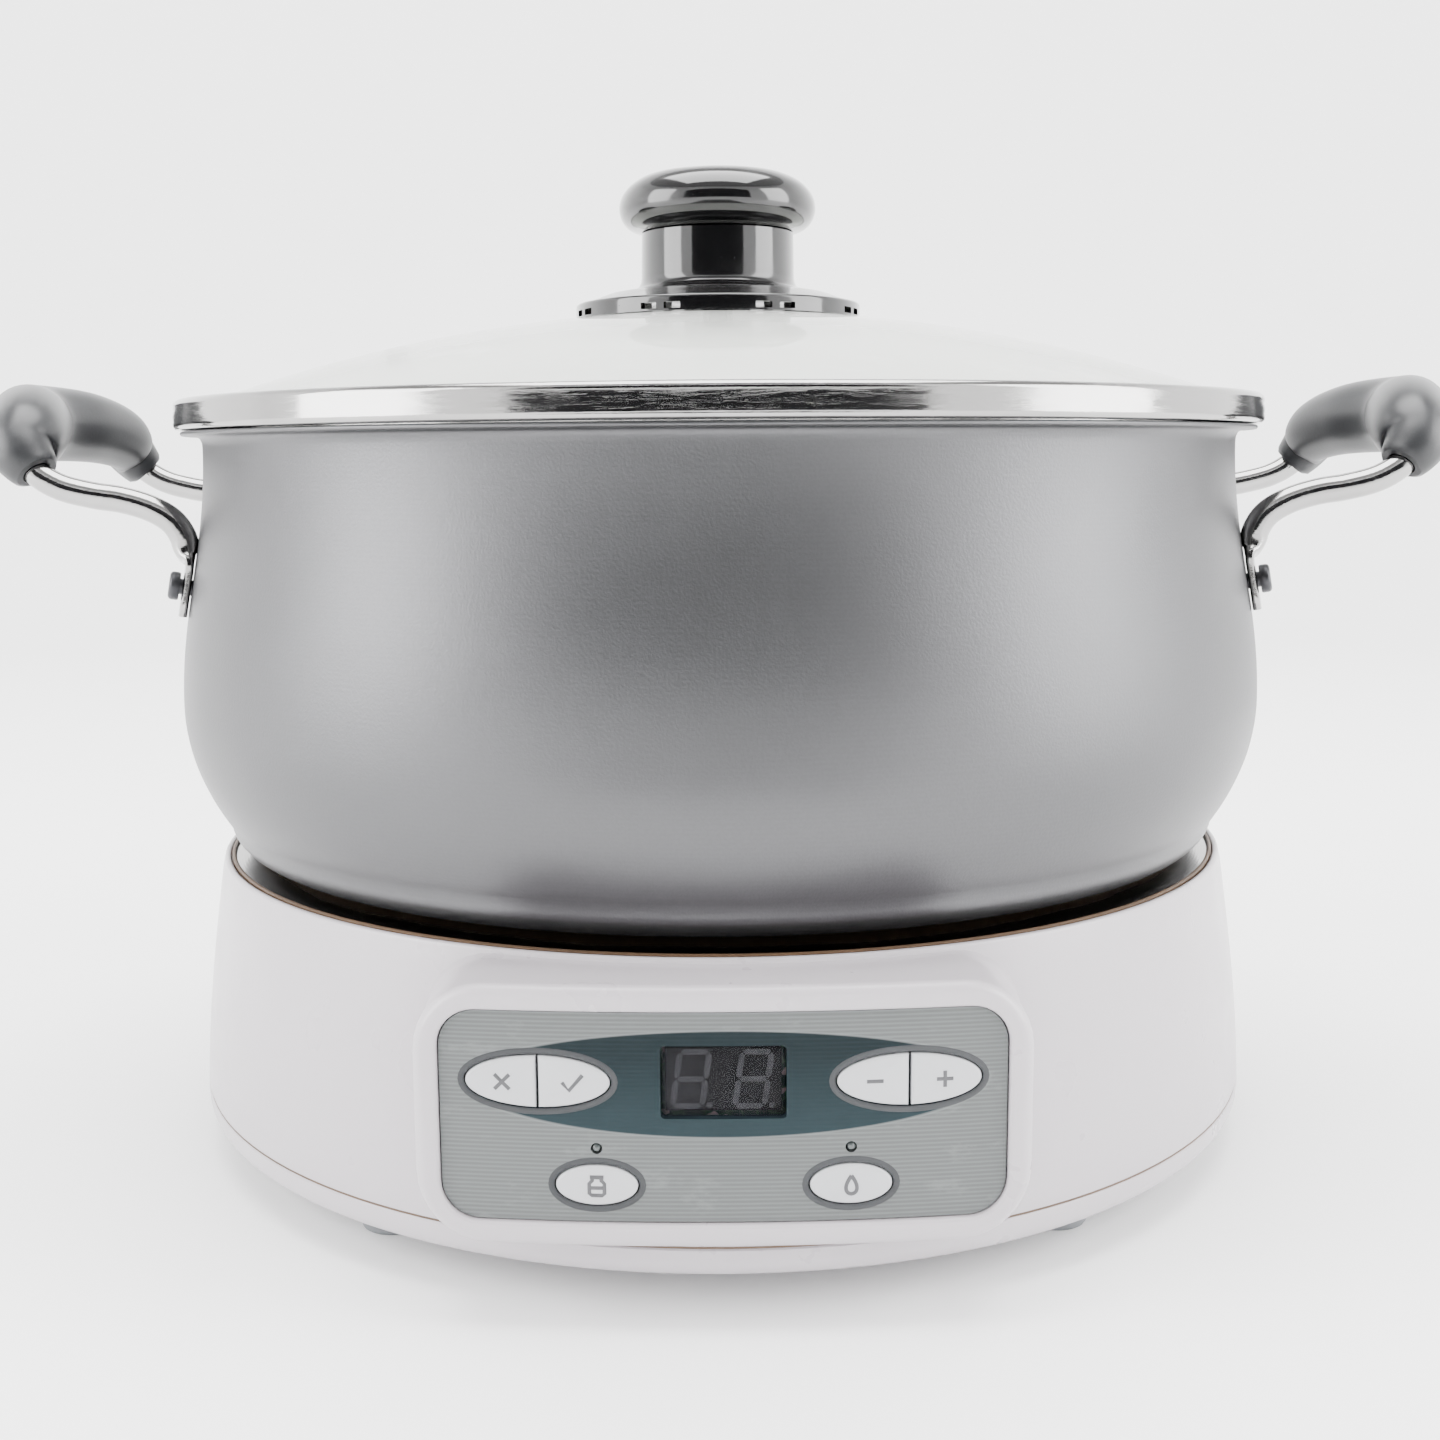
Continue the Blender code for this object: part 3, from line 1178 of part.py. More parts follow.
def make_panel_plate():
    outline = rounded_rectangle(PANEL_WIDTH, PANEL_HEIGHT, PANEL_CORNER_R)
    plate = panel_slab("panel_plate", [outline], PANEL_BOW_R, PANEL_BACK_R, "panel_film", 0, PANEL_Z)
    post_near = -(BOARD_Y - GAP)
    post_far = PANEL_FRONT - PANEL_THICKNESS
    for number, (x, z) in enumerate(panel_posts(), 1):
        place = facing_front(x, z)
        post = rod(f"panel_post_{number}", POST_R, post_near, post_far, matrix=place, steps=TINY_STEPS)
        keep_within(post, bow_cylinder(f"post_front_{number}", PANEL_BOW_R - SINK))
        join(plate, post)
    back = PANEL_FRONT - CUT_ROOM
    front = PANEL_FRONT + CUT_ROOM
    window = rounded_rectangle(WINDOW_WIDTH + 2 * GAP, WINDOW_HEIGHT + 2 * GAP, WINDOW_CORNER_R, 2)
    pair = ellipse(PAIR_HALF_WIDTH, PAIR_HALF_HEIGHT)
    single = ellipse(SINGLE_HALF_WIDTH, SINGLE_HALF_HEIGHT, SMALL_STEPS)
    lamp = circle(LAMP_R + GAP, TINY_STEPS)
    holes = [("window_hole", window, 0, UPPER_ROW_Z)]
    for side in (-1, 1):
        holes.append((f"pair_hole_{side}", pair, side * PAIR_OFFSET, UPPER_ROW_Z))
        holes.append((f"single_hole_{side}", single, side * SINGLE_OFFSET, LOWER_ROW_Z))
        holes.append((f"lamp_hole_{side}", lamp, side * SINGLE_OFFSET, LAMP_Z))
    for name, shape, x, z in holes:
        cut(plate, extruded(name, [shape], back, front, matrix=facing_front(x, z)))


def panel_posts():
    reach_x = BOARD_WIDTH / 2 - POST_R
    reach_z = BOARD_HEIGHT / 2 - POST_R
    return [(sx * reach_x, PANEL_Z + sz * reach_z) for sx in (-1, 1) for sz in (-1, 1)]


def make_display():
    lens = rounded_rectangle(WINDOW_WIDTH, WINDOW_HEIGHT, WINDOW_CORNER_R, 2)
    lens_front = PANEL_BOW_R - WINDOW_RECESS
    lens_back = lens_front - LENS_THICKNESS
    panel_slab("display_lens", [lens], lens_front, lens_back, "smoked_window", 0, UPPER_ROW_Z)
    front_y = -PANEL_FRONT + WINDOW_RECESS + LENS_THICKNESS + 2 * GAP
    depth = BOARD_Y - GAP - front_y
    size = (WINDOW_WIDTH - DISPLAY_ROOM, depth, WINDOW_HEIGHT - DISPLAY_ROOM)
    box("display_module", size, (0, front_y + depth / 2, UPPER_ROW_Z), "smoked_window")


def make_lamps():
    """Small lenses whose fronts lie on the panel's bow, each on a wider foot behind the plate."""
    front = PANEL_FRONT - SINGLE_OFFSET**2 / (2 * PANEL_BOW_R)
    base = -(BOARD_Y - GAP)
    crown_share, crown_drop = LAMP_CROWN
    outline = [
        (0.0, front),
        (LAMP_R * crown_share, front - crown_drop),
        (LAMP_R, front - LAMP_DOME),
        (LAMP_R, front - LAMP_FOOT_DROP),
        (LAMP_R + LAMP_FOOT, front - LAMP_FOOT_DROP),
        (LAMP_R + LAMP_FOOT, base),
        (0.0, base),
    ]
    for name, side in (("lamp_left", -1), ("lamp_right", 1)):
        place = facing_front(side * SINGLE_OFFSET, LAMP_Z)
        turned(name, outline, "lamp_lens", TINY_STEPS, place)


def make_control_board():
    centre = (0, BOARD_Y + BOARD_THICKNESS / 2, PANEL_Z)
    board = box("control_board", (BOARD_WIDTH, BOARD_THICKNESS, BOARD_HEIGHT), centre, "board_green")
    for name, half, x, z in button_list():
        size = (SWITCH_SIDE, SWITCH_DEPTH + GAP, SWITCH_SIDE)
        place = (x + stem_offset(half), BOARD_Y - SWITCH_DEPTH / 2 + GAP / 2, z)
        join(board, box(f"{name}_switch", size, place))


# ---- Pot


def rivet_frame(side, leg):
    """Out along the pot's wall at one rivet: local Z is the wall's outward direction."""
    radius = pot_radius(RIVET_HEIGHT)
    across = leg * LEG_OFFSET
    out = side * math.sqrt(radius**2 - across**2)
    higher = pot_radius(RIVET_HEIGHT + RIVET_REACH)
    lower = pot_radius(RIVET_HEIGHT - RIVET_REACH)
    slope = (higher - lower) / (2 * RIVET_REACH)
    normal = Vector((out / radius, across / radius, -slope)).normalized()
    turn = Vector((0, 0, 1)).rotation_difference(normal).to_matrix().to_4x4()
    return Matrix.Translation((out, across, POT_Z + RIVET_HEIGHT)) @ turn


def pot_outline():
    wall_heights = spread(POT_HEIGHT - POT_NECK_DROP, POT_CORNER_HEIGHT, 9)
    outline = [
        (POT_FLANGE_R, MOUTH_Z),
        (POT_FLANGE_R, MOUTH_Z - FLANGE_SHEET),
        (POT_NECK_R + FLANGE_ROOT[0], MOUTH_Z - FLANGE_ROOT[1]),
    ]
    outline += [(pot_radius(h), POT_Z + h) for h in wall_heights]
    corner_z = POT_Z + POT_CORNER_HEIGHT
    outline += arc(POT_FOOT_R, corner_z, POT_CORNER_WIDTH, POT_CORNER_HEIGHT, 0, -90, 3)[1:]
    hole_r = POST_NECK_R + GAP
    outline += [(hole_r, POT_Z), (hole_r, POT_FLOOR_Z)]
    inner_height = POT_CORNER_HEIGHT - POT_FLOOR
    outline += arc(POT_FOOT_R, corner_z, POT_CORNER_WIDTH - POT_WALL, inner_height, -90, 0, 3)
    inner_heights = wall_heights[::-1][1:]
    outline += [(pot_radius(h) - POT_WALL, POT_Z + h) for h in inner_heights]
    outline += [(POT_NECK_R - POT_WALL, MOUTH_Z - FLANGE_ROOT[1]), (POT_NECK_R, MOUTH_Z)]
    return outline


def pot_envelope():
    """A solid of the pot's outer shape, a gap larger, to fit what lies against its wall."""
    heights = spread(POT_HEIGHT - POT_NECK_DROP, POT_CORNER_HEIGHT, 9)
    outline = [(0.0, POT_Z + heights[0])]
    outline += [(pot_radius(h) + GAP, POT_Z + h) for h in heights]
    return outline + [(0.0, POT_Z + heights[-1])]


def make_pot_shell():
    pot = turned("pot_shell", pot_outline(), "satin_pot")
    for side in (-1, 1):
        for leg in (-1, 1):
            name = f"rivet_hole_{side}_{leg}"
            place = rivet_frame(side, leg)
            cut(pot, rod(name, RIVET_R + GAP, -RIVET_REACH, RIVET_REACH, matrix=place, steps=TINY_STEPS))


def make_rivets():
    strap_face = 2 * GAP + STRAP_THICKNESS
    head_top = strap_face + GAP + RIVET_HEAD_DEPTH
    back = -POT_WALL - GAP - FLAT_SAG
    outline = [
        (0.0, head_top),
        (RIVET_HEAD_R - RIVET_EDGE[0], head_top),
        (RIVET_HEAD_R, head_top - RIVET_EDGE[1]),
        (RIVET_HEAD_R, strap_face + GAP),
        (RIVET_R, strap_face + GAP),
        (RIVET_R, back),
        (RIVET_HEAD_R, back),
        (RIVET_HEAD_R - RIVET_TAIL[0], back - RIVET_TAIL[1]),
        (0.0, back - RIVET_TAIL[1]),
    ]
    for side, side_name in ((-1, "left"), (1, "right")):
        for leg, leg_name in ((-1, "front"), (1, "rear")):
            name = f"rivet_{side_name}_{leg_name}"
            turned(name, outline, "zinc_screw", 10, rivet_frame(side, leg))


def strap_top_x():
    return math.sqrt(pot_radius(STRAP_TOP) ** 2 - LEG_OFFSET**2) + GAP + STRAP_THICKNESS / 2


def handle_points(bends, side, leg):
    """Bends as world points: outwards, inwards along Y, and up from the strap's top."""
    x = strap_top_x()
    z = POT_Z + STRAP_TOP
    return [Vector((side * (x + out), leg * (LEG_OFFSET - inward), z + up)) for out, inward, up in bends]


def handle_loop(side):
    front = handle_points(LEG_BENDS + GRIP_BENDS[1:], side, -1)
    rear = handle_points(LEG_BENDS + GRIP_BENDS[1:-1], side, 1)
    return front + rear[::-1]


def grip_loop(side):
    front = handle_points(GRIP_BENDS, side, -1)
    rear = handle_points(GRIP_BENDS[:-1], side, 1)
    return front + rear[::-1]


def make_strap(name, side, leg):
    """The flattened end of a leg, lying along the pot's wall."""
    height = STRAP_TOP - STRAP_BOTTOM
    lead = RIVET_HEIGHT - (STRAP_TOP + STRAP_BOTTOM) / 2
    centre = (0, 0, GAP + STRAP_THICKNESS / 2)
    frame = rivet_frame(side, leg)
    normal = frame.to_3x3() @ Vector((0, 0, 1))
    level = Vector((0, 0, 1)).cross(normal).normalized()
    up = normal.cross(level)
    basis = Matrix((level, up, normal)).transposed().to_4x4()
    place = Matrix.Translation(frame.translation - up * lead) @ basis
    return box(name, (STRAP_WIDTH, height, STRAP_THICKNESS), centre, None, place)


def make_handles():
    envelope = turned("pot_clearance", pot_envelope())
    for label, side in (("left", -1), ("right", 1)):
        route = smooth_route(handle_loop(side), 1)
        wire = tube(f"handle_wire_{label}", route, WIRE_R, "bright_steel")
        for leg in (-1, 1):
            frame = rivet_frame(side, leg)
            join(wire, make_strap(f"strap_{label}_{leg}", side, leg))
            hole_name = f"strap_hole_{label}_{leg}"
            hole = rod(hole_name, RIVET_R + GAP, -RIVET_REACH, HEAD_ROOM, matrix=frame, steps=TINY_STEPS)
            room_name = f"head_room_{label}_{leg}"
            room_low = 2 * GAP + STRAP_THICKNESS
            head_room = rod(room_name, RIVET_HEAD_R + GAP, room_low, HEAD_ROOM, matrix=frame)
            cut(wire, hole, head_room)
        cut(wire, envelope)
        grip_route = smooth_route(grip_loop(side), 2)
        last = len(grip_route) - 1
        swell = [0.0] + [math.sin(math.pi * i / last) ** GRIP_SWELL for i in range(1, last)] + [0.0]
        radii = [GRIP_END_R + (GRIP_MIDDLE_R - GRIP_END_R) * s for s in swell]
        grip = tube(f"grip_{label}", grip_route, GRIP_MIDDLE_R, "grip_phenolic", radii, sides=3)
        tunnel = tube(f"grip_tunnel_{label}", route, WIRE_R + GAP)
        cut(grip, tunnel)


def make_post():
    """The tube that the stirring shaft turns in, its gasket and the nut below the pot."""
    bore = STIR_SHAFT_R + RUNNING_GAP
    flange_top = POST_FLANGE_Z + POST_FLANGE_DEPTH
    nut_bottom = POT_Z - GAP - NUT_DEPTH
    outline = [
        (POST_TIP_R, POST_TIP_Z),
        (POST_TUBE_R, flange_top + POST_TAPER_START),
        (POST_TUBE_R, flange_top),
        (POST_FLANGE_R, flange_top),
        (POST_FLANGE_R, POST_FLANGE_Z),
        (POST_NECK_R, POST_FLANGE_Z),
        (POST_NECK_R, nut_bottom),
        (bore, nut_bottom),
        (bore, POST_TIP_Z),
    ]
    turned("stirrer_post", outline, "bright_steel", SMALL_STEPS)
    ring = [
        (POST_FLANGE_R, GASKET_Z + GASKET_DEPTH),
        (POST_FLANGE_R, GASKET_Z),
        (POST_NECK_R + GAP, GASKET_Z),
        (POST_NECK_R + GAP, GASKET_Z + GASKET_DEPTH),
    ]
    turned("post_gasket", ring, "silicone", SMALL_STEPS)
    extruded("post_nut", [circle(NUT_R, 6), circle(POST_NECK_R + GAP)], nut_bottom, POT_Z - GAP, "zinc_screw")


def make_stirring_shaft():
    """The shaft in the pot's post: a disc with two lugs below, and a flat tang on top."""
    disc_bottom = DRIVEN_DISC_Z - DRIVEN_DISC_DEPTH
    shaft_top = POST_TIP_Z + RUNNING_GAP
    disc = rod("stirring_shaft", COUPLING_R, disc_bottom, DRIVEN_DISC_Z, "bright_steel")
    shaft = rod("stirring_rod", STIR_SHAFT_R, disc_bottom + SINK, shaft_top)
    tang_low = shaft_top - SINK
    tang_size = (TANG_WIDTH, TANG_DEPTH, TANG_HEIGHT)
    tang = box("shaft_tang", tang_size, (0, 0, tang_low + TANG_HEIGHT / 2))
    join(disc, shaft, tang)
    length, width, depth = LUG_SIZE
    out = COUPLING_BAR[1] / 2 + RUNNING_GAP + width / 2
    for side in (-1, 1):
        centre = (0, side * out, disc_bottom + (SINK - depth) / 2)
        join(disc, box(f"coupling_lug_{side}", (length, width, depth + SINK), centre))


def make_stirrer():
    """A hub that drops over the post, with a blade to each side just above the pot's floor."""
    hub_low = POST_FLANGE_Z + POST_FLANGE_DEPTH + RUNNING_GAP
    bore = POST_TUBE_R + RUNNING_GAP
    hub = rod("stirrer", HUB_R, hub_low, HUB_TOP_Z, "stirrer_nylon")
    low = POT_FLOOR_Z + STIRRER_RISE
    root_out = POST_FLANGE_R + STIRRER_ROOT[0]
    half = [
        (0.0, hub_low),
        (root_out, hub_low),
        (root_out + STIRRER_ROOT[1], low),
        (STIRRER_REACH, low),
        (STIRRER_REACH + STIRRER_TIP, low + STIRRER_TIP_SHARE * STIRRER_TIP_HEIGHT),
        (STIRRER_REACH, low + STIRRER_TIP_HEIGHT),
        (HUB_R + STIRRER_SLOPE[0], low + STIRRER_ROOT_HEIGHT),
        (0.0, low + STIRRER_ROOT_HEIGHT + STIRRER_SLOPE[1]),
    ]
    outline = half + [(-x, z) for x, z in half[::-1] if x]
    blade = extruded("blade", [outline], -BLADE_THICKNESS / 2, BLADE_THICKNESS / 2, matrix=facing_front())
    bore_top = POST_TIP_Z + RUNNING_GAP
    hollow = rod("hub_bore", bore, 0, bore_top)
    slot_size = (TANG_WIDTH + 2 * GAP, TANG_DEPTH + 2 * GAP, 2 * CUT_ROOM)
    slot = box("tang_slot", slot_size, (0, 0, bore_top + CUT_ROOM - SINK))
    shaft_room = rod("shaft_room", STIR_SHAFT_R + RUNNING_GAP, 0, bore_top + RUNNING_GAP)
    cut(join(hub, blade), hollow, shaft_room, slot)


# ---- Lid and knob


def make_glass():
    beside_eyelet = EYELET_SPAN * EYELET_FLANGE_R
    rings = [
        GLASS_HOLE_R,
        KNOB_SKIRT_R,
        EYELET_PLACE - beside_eyelet,
        EYELET_PLACE + beside_eyelet,
        GLASS_R,
    ]
    outer = [(r, dome_z(r)) for r in rings]
    inner = [(r, dome_z(r, GLASS_THICKNESS)) for r in rings[::-1]]
    glass = turned("lid_glass", outer + inner, "lid_glass")
    place = eyelet_frame()
    cut(glass, rod("eyelet_hole", EYELET_R + GAP, -CUT_ROOM, CUT_ROOM, matrix=place, steps=12))


def eyelet_frame():
    """On the dome, left of the knob; local Z is the glass's outward direction."""
    tilt = math.asin(EYELET_PLACE / DOME_R)
    place = Matrix.Translation((-EYELET_PLACE, 0, dome_z(EYELET_PLACE)))
    return place @ Matrix.Rotation(-tilt, 4, "Y")


def make_eyelet():
    top = GAP + EYELET_CROWN[1]
    under = -GLASS_THICKNESS - GAP
    outline = [
        (EYELET_FLANGE_R - EYELET_CROWN[0], top),
        (EYELET_FLANGE_R, GAP + EYELET_FLANGE_EDGE),
        (EYELET_FLANGE_R, GAP),
        (EYELET_R, GAP),
        (EYELET_R, under),
        (EYELET_FLANGE_R, under),
        (EYELET_FLANGE_R - EYELET_TAIL[0], under - EYELET_TAIL[1]),
        (EYELET_BORE_R, under - EYELET_TAIL[1]),
        (EYELET_BORE_R, top),
    ]
    turned("vent_eyelet", outline, "bright_steel", 12, eyelet_frame())


def make_lid_rim():
    """A rolled channel round the glass's edge, with a skirt that drops inside the pot's mouth."""
    lip_r = GLASS_R - RIM_LIP
    mouth_r = POT_NECK_R - POT_WALL
    skirt_r = mouth_r - 2 * GAP
    channel_r = GLASS_R + RUNNING_GAP
    low = LID_Z
    crown = DOME_EDGE_Z + RIM_CROWN_RISE
    lip_under = dome_z(lip_r) + GAP
    outline = [
        (GLASS_R - RIM_LIP_EDGE, lip_under + RIM_SHEET),
        (LID_R - RIM_CROWN_EDGE[0], crown),
        (LID_R, crown - RIM_CROWN_EDGE[1]),
        (LID_R, low + RIM_FOOT_EDGE[1]),
        (LID_R - RIM_FOOT_EDGE[0], low),
        (skirt_r, low),
        (skirt_r, low - RIM_SKIRT_DEPTH),
        (skirt_r - RIM_SHEET, low - RIM_SKIRT_DEPTH),
        (skirt_r - RIM_SHEET, low + RIM_SHEET),
        (channel_r, low + RIM_SHEET),
        (channel_r, dome_z(channel_r) + GAP),
        (lip_r, lip_under),
        (lip_r, lip_under + RIM_SHEET),
    ]
    turned("lid_rim", outline, "bright_steel")


def make_knob_base():
    """The knob's foot: a skirt on the glass with steam slots, and a neck over a hollow."""
    bore = KNOB_SCREW_R + GAP
    shoulder_z = DOME_TOP_Z + KNOB_SHOULDER_RISE
    skirt_z = dome_z(KNOB_SKIRT_R) + GAP
    skirt_top = skirt_z + KNOB_SKIRT_HEIGHT
    ceiling = DOME_TOP_Z + KNOB_CEILING
    inner_r = KNOB_SKIRT_R - KNOB_SKIRT_WALL
    outline = [(KNOB_NECK_R, KNOB_NECK_TOP_Z)]
    outline += [(KNOB_NECK_R + out, shoulder_z + up) for out, up in KNOB_NECK_FILLET]
    outline += [
        (KNOB_SHOULDER_R, shoulder_z),
        (KNOB_SKIRT_R - KNOB_SKIRT_EDGE[0], skirt_top),
        (KNOB_SKIRT_R, skirt_top - KNOB_SKIRT_EDGE[1]),
        (KNOB_SKIRT_R, skirt_z),
        (inner_r, dome_z(inner_r) + GAP),
        (inner_r, skirt_top - KNOB_SKIRT_ROOF),
        (KNOB_SHOULDER_R, ceiling),
        (KNOB_BOSS_R, ceiling),
        (KNOB_BOSS_R, DOME_TOP_Z + GAP),
        (bore, DOME_TOP_Z + GAP),
        (bore, KNOB_NECK_TOP_Z),
    ]
    base = turned("knob_base", outline, "gloss_phenolic", KNOB_STEPS)
    slot_size = (KNOB_SLOT_DEPTH, KNOB_SLOT_WIDTH, KNOB_SLOT_HEIGHT)
    slot_centre = (KNOB_SKIRT_R - SINK, 0, skirt_z - KNOB_SLOT_SINK + KNOB_SLOT_HEIGHT / 2)
    for number in range(KNOB_SLOTS):
        turn = Matrix.Rotation(2 * math.pi * (number + 0.5) / KNOB_SLOTS, 4, "Z")
        cut(base, box(f"steam_slot_{number + 1}", slot_size, slot_centre, None, turn))


def make_knob_cap():
    bore = KNOB_SCREW_R + GAP
    low = KNOB_NECK_TOP_Z + GAP
    middle = low + KNOB_CAP_MIDDLE
    top = low + KNOB_CAP_HEIGHT
    upper_height = KNOB_CAP_HEIGHT - KNOB_CAP_MIDDLE - KNOB_CAP_FALL
    bore_top = low + KNOB_BORE_DEPTH
    outline = [(0.0, top), (KNOB_CAP_FLAT[0], top - KNOB_CAP_FLAT[1])]
    outline += arc(KNOB_CAP_R - KNOB_CAP_UPPER, middle, KNOB_CAP_UPPER, upper_height, 75, 0, 6)
    outline += arc(KNOB_CAP_R - KNOB_CAP_LOWER, middle, KNOB_CAP_LOWER, KNOB_CAP_MIDDLE, 0, -90, 4)[1:]
    outline += [(bore, low), (bore, bore_top), (0.0, bore_top)]
    turned("knob_cap", outline, "gloss_phenolic", KNOB_STEPS)


def make_knob_fixing():
    """The washer and the screw that hold the knob from under the glass."""
    bore = KNOB_SCREW_R + GAP
    washer_top = DOME_TOP_Z - GLASS_THICKNESS - 2 * GAP
    washer_low = washer_top - KNOB_WASHER_DEPTH
    washer = [
        (KNOB_WASHER_R, washer_top),
        (KNOB_WASHER_R, washer_low),
        (bore, washer_low),
        (bore, washer_top),
    ]
    turned("knob_washer", washer, "silicone", SMALL_STEPS)
    tip_z = KNOB_NECK_TOP_Z + GAP + KNOB_SCREW_REACH
    head_top = washer_low - GAP
    head_low = head_top - KNOB_SCREW_HEAD_DEPTH
    screw = [
        (0.0, tip_z),
        (KNOB_SCREW_R, tip_z),
        (KNOB_SCREW_R, head_top),
        (KNOB_SCREW_HEAD_R, head_top),
        (KNOB_SCREW_HEAD_R, head_low + KNOB_SCREW_EDGE),
        (KNOB_SCREW_HEAD_R - KNOB_SCREW_EDGE, head_low),
        (0.0, head_low),
    ]
    turned("knob_screw", screw, "zinc_screw", SMALL_STEPS)


clear_scene()
PIECES = new_collection("jam_cooker")
CUTTERS = new_collection("cutters")
make_housing()
make_base_cover()
make_feet()
make_cover_screws()
make_cord_gland()
make_bowl()
make_hot_plate()
make_heating_element()
make_thermal_fuse()
make_sensor()
make_gearbox()
make_bush()
make_drive()
make_idler()
make_motor()
make_power_board()
make_bezel()
make_panel_plate()
make_buttons()
make_display()
make_lamps()
make_control_board()
make_pot_shell()
make_rivets()
make_handles()
make_post()
make_stirring_shaft()
make_stirrer()
make_glass()
make_eyelet()
make_lid_rim()
make_knob_base()
make_knob_cap()
make_knob_fixing()
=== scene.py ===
"""The looks of a countertop jam cooker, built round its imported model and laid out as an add-on.

Metres, +Z up. The origin is on the pot's axis at table level, and the key panel faces -Y.
"""

import math

import bmesh
import bpy
from bpy.props import FloatProperty, FloatVectorProperty, IntProperty, PointerProperty
from bpy.types import Operator, Panel, PropertyGroup
from mathutils import Matrix, Vector


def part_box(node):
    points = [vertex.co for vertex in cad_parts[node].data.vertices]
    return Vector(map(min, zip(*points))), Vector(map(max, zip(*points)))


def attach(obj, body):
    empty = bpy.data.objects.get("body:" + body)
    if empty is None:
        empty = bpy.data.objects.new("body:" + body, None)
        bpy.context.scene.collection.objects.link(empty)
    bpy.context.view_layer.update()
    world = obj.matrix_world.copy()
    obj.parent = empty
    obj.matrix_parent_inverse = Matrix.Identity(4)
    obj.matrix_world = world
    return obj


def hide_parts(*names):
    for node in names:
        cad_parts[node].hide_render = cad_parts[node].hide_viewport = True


bl_info = {
    "name": "Jam Cooker",
    "version": (1, 0, 0),
    "blender": (4, 5, 0),
    "location": "View3D > Sidebar > Cooker",
    "description": "Builds the visible pieces and finishes of a jam cooker",
    "category": "Object",
}

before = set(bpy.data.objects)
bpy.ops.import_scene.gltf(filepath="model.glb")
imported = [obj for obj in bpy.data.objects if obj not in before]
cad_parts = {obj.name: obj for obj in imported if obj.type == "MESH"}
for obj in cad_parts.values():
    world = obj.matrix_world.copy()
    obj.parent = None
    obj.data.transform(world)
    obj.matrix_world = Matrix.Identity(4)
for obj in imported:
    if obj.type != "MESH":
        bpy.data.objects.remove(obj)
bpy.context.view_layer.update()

# ---- Places read from the frame
HOUSING_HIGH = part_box("housing")[1]
COVER_LOW, COVER_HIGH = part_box("base_cover")
BEZEL_LOW, BEZEL_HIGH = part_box("bezel")
PLATE_LOW, PLATE_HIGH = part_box("panel_plate")
LENS_LOW, LENS_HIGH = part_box("display_lens")
MODULE_LOW, MODULE_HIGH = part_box("display_module")
POT_LOW, POT_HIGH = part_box("pot_shell")
GLASS_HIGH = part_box("lid_glass")[1]
RIM_LOW, RIM_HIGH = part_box("lid_rim")
KNOB_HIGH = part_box("knob_base")[1]
CAP_LOW, CAP_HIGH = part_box("knob_cap")
BOWL_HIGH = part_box("heater_bowl")[1]
HOT_LOW, HOT_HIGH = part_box("hot_plate")
POST_LOW, POST_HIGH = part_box("stirrer_post")
STIRRER_LOW, STIRRER_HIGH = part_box("stirrer")
GLAND_LOW, GLAND_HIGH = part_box("cord_gland")

RIM_Z = HOUSING_HIGH.z
SKIRT_R = COVER_HIGH.x
SEAM_DROP = 0.0606  # housing rim to the seam over the base cover
SEAM_Z = RIM_Z - SEAM_DROP
PANEL_FRONT = -PLATE_LOW.y
PANEL_Z = (BEZEL_LOW.z + BEZEL_HIGH.z) / 2
POT_Z = POT_LOW.z
MOUTH_Z = POT_HIGH.z
POT_HEIGHT = MOUTH_Z - POT_Z
KNOB_BASE_HEIGHT = 0.0212
DOME_TOP_Z = KNOB_HIGH.z - KNOB_BASE_HEIGHT
GAP = 0.0003

# ---- The pot's outline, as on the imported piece
BELLY_R = POT_HIGH.x
BELLY_HEIGHT = 0.0386
NECK_R = 0.1367
NECK_DROP = 0.0040
FLANGE_WIDTH = 0.0053
FLANGE_R = NECK_R + FLANGE_WIDTH
LOWER_ARC_R = 0.0950
FOOT_R = 0.1225
CORNER_WIDTH = 0.0115
CORNER_HEIGHT = 0.0080
POT_WALL = 0.0012
POT_FLOOR = 0.0030
DOME_EDGE_RISE = 0.0056  # pot mouth to the glass edge
DOME_FALL = DOME_TOP_Z - MOUTH_Z - DOME_EDGE_RISE
DOME_R = (GLASS_HIGH.x**2 + DOME_FALL**2) / (2 * DOME_FALL)

# ---- Keys: name, which half of a pair, and place on the panel
PAIR_X = 0.0379
PAIR_SIZE = (0.0149, 0.0055)
SINGLE_X = 0.0260
SINGLE_SIZE = (0.0085, 0.0043)
UPPER_ROW_RISE = 0.0075
LOWER_ROW_DROP = 0.0144
UPPER_Z = PANEL_Z + UPPER_ROW_RISE
LOWER_Z = PANEL_Z - LOWER_ROW_DROP
LAMP_Z = (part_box("lamp_left")[0].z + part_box("lamp_left")[1].z) / 2
KEYS = (
    ("cancel", -1, -PAIR_X, UPPER_Z),
    ("enter", 1, -PAIR_X, UPPER_Z),
    ("minus", -1, PAIR_X, UPPER_Z),
    ("plus", 1, PAIR_X, UPPER_Z),
    ("jam", 0, -SINGLE_X, LOWER_Z),
    ("jelly", 0, SINGLE_X, LOWER_Z),
)

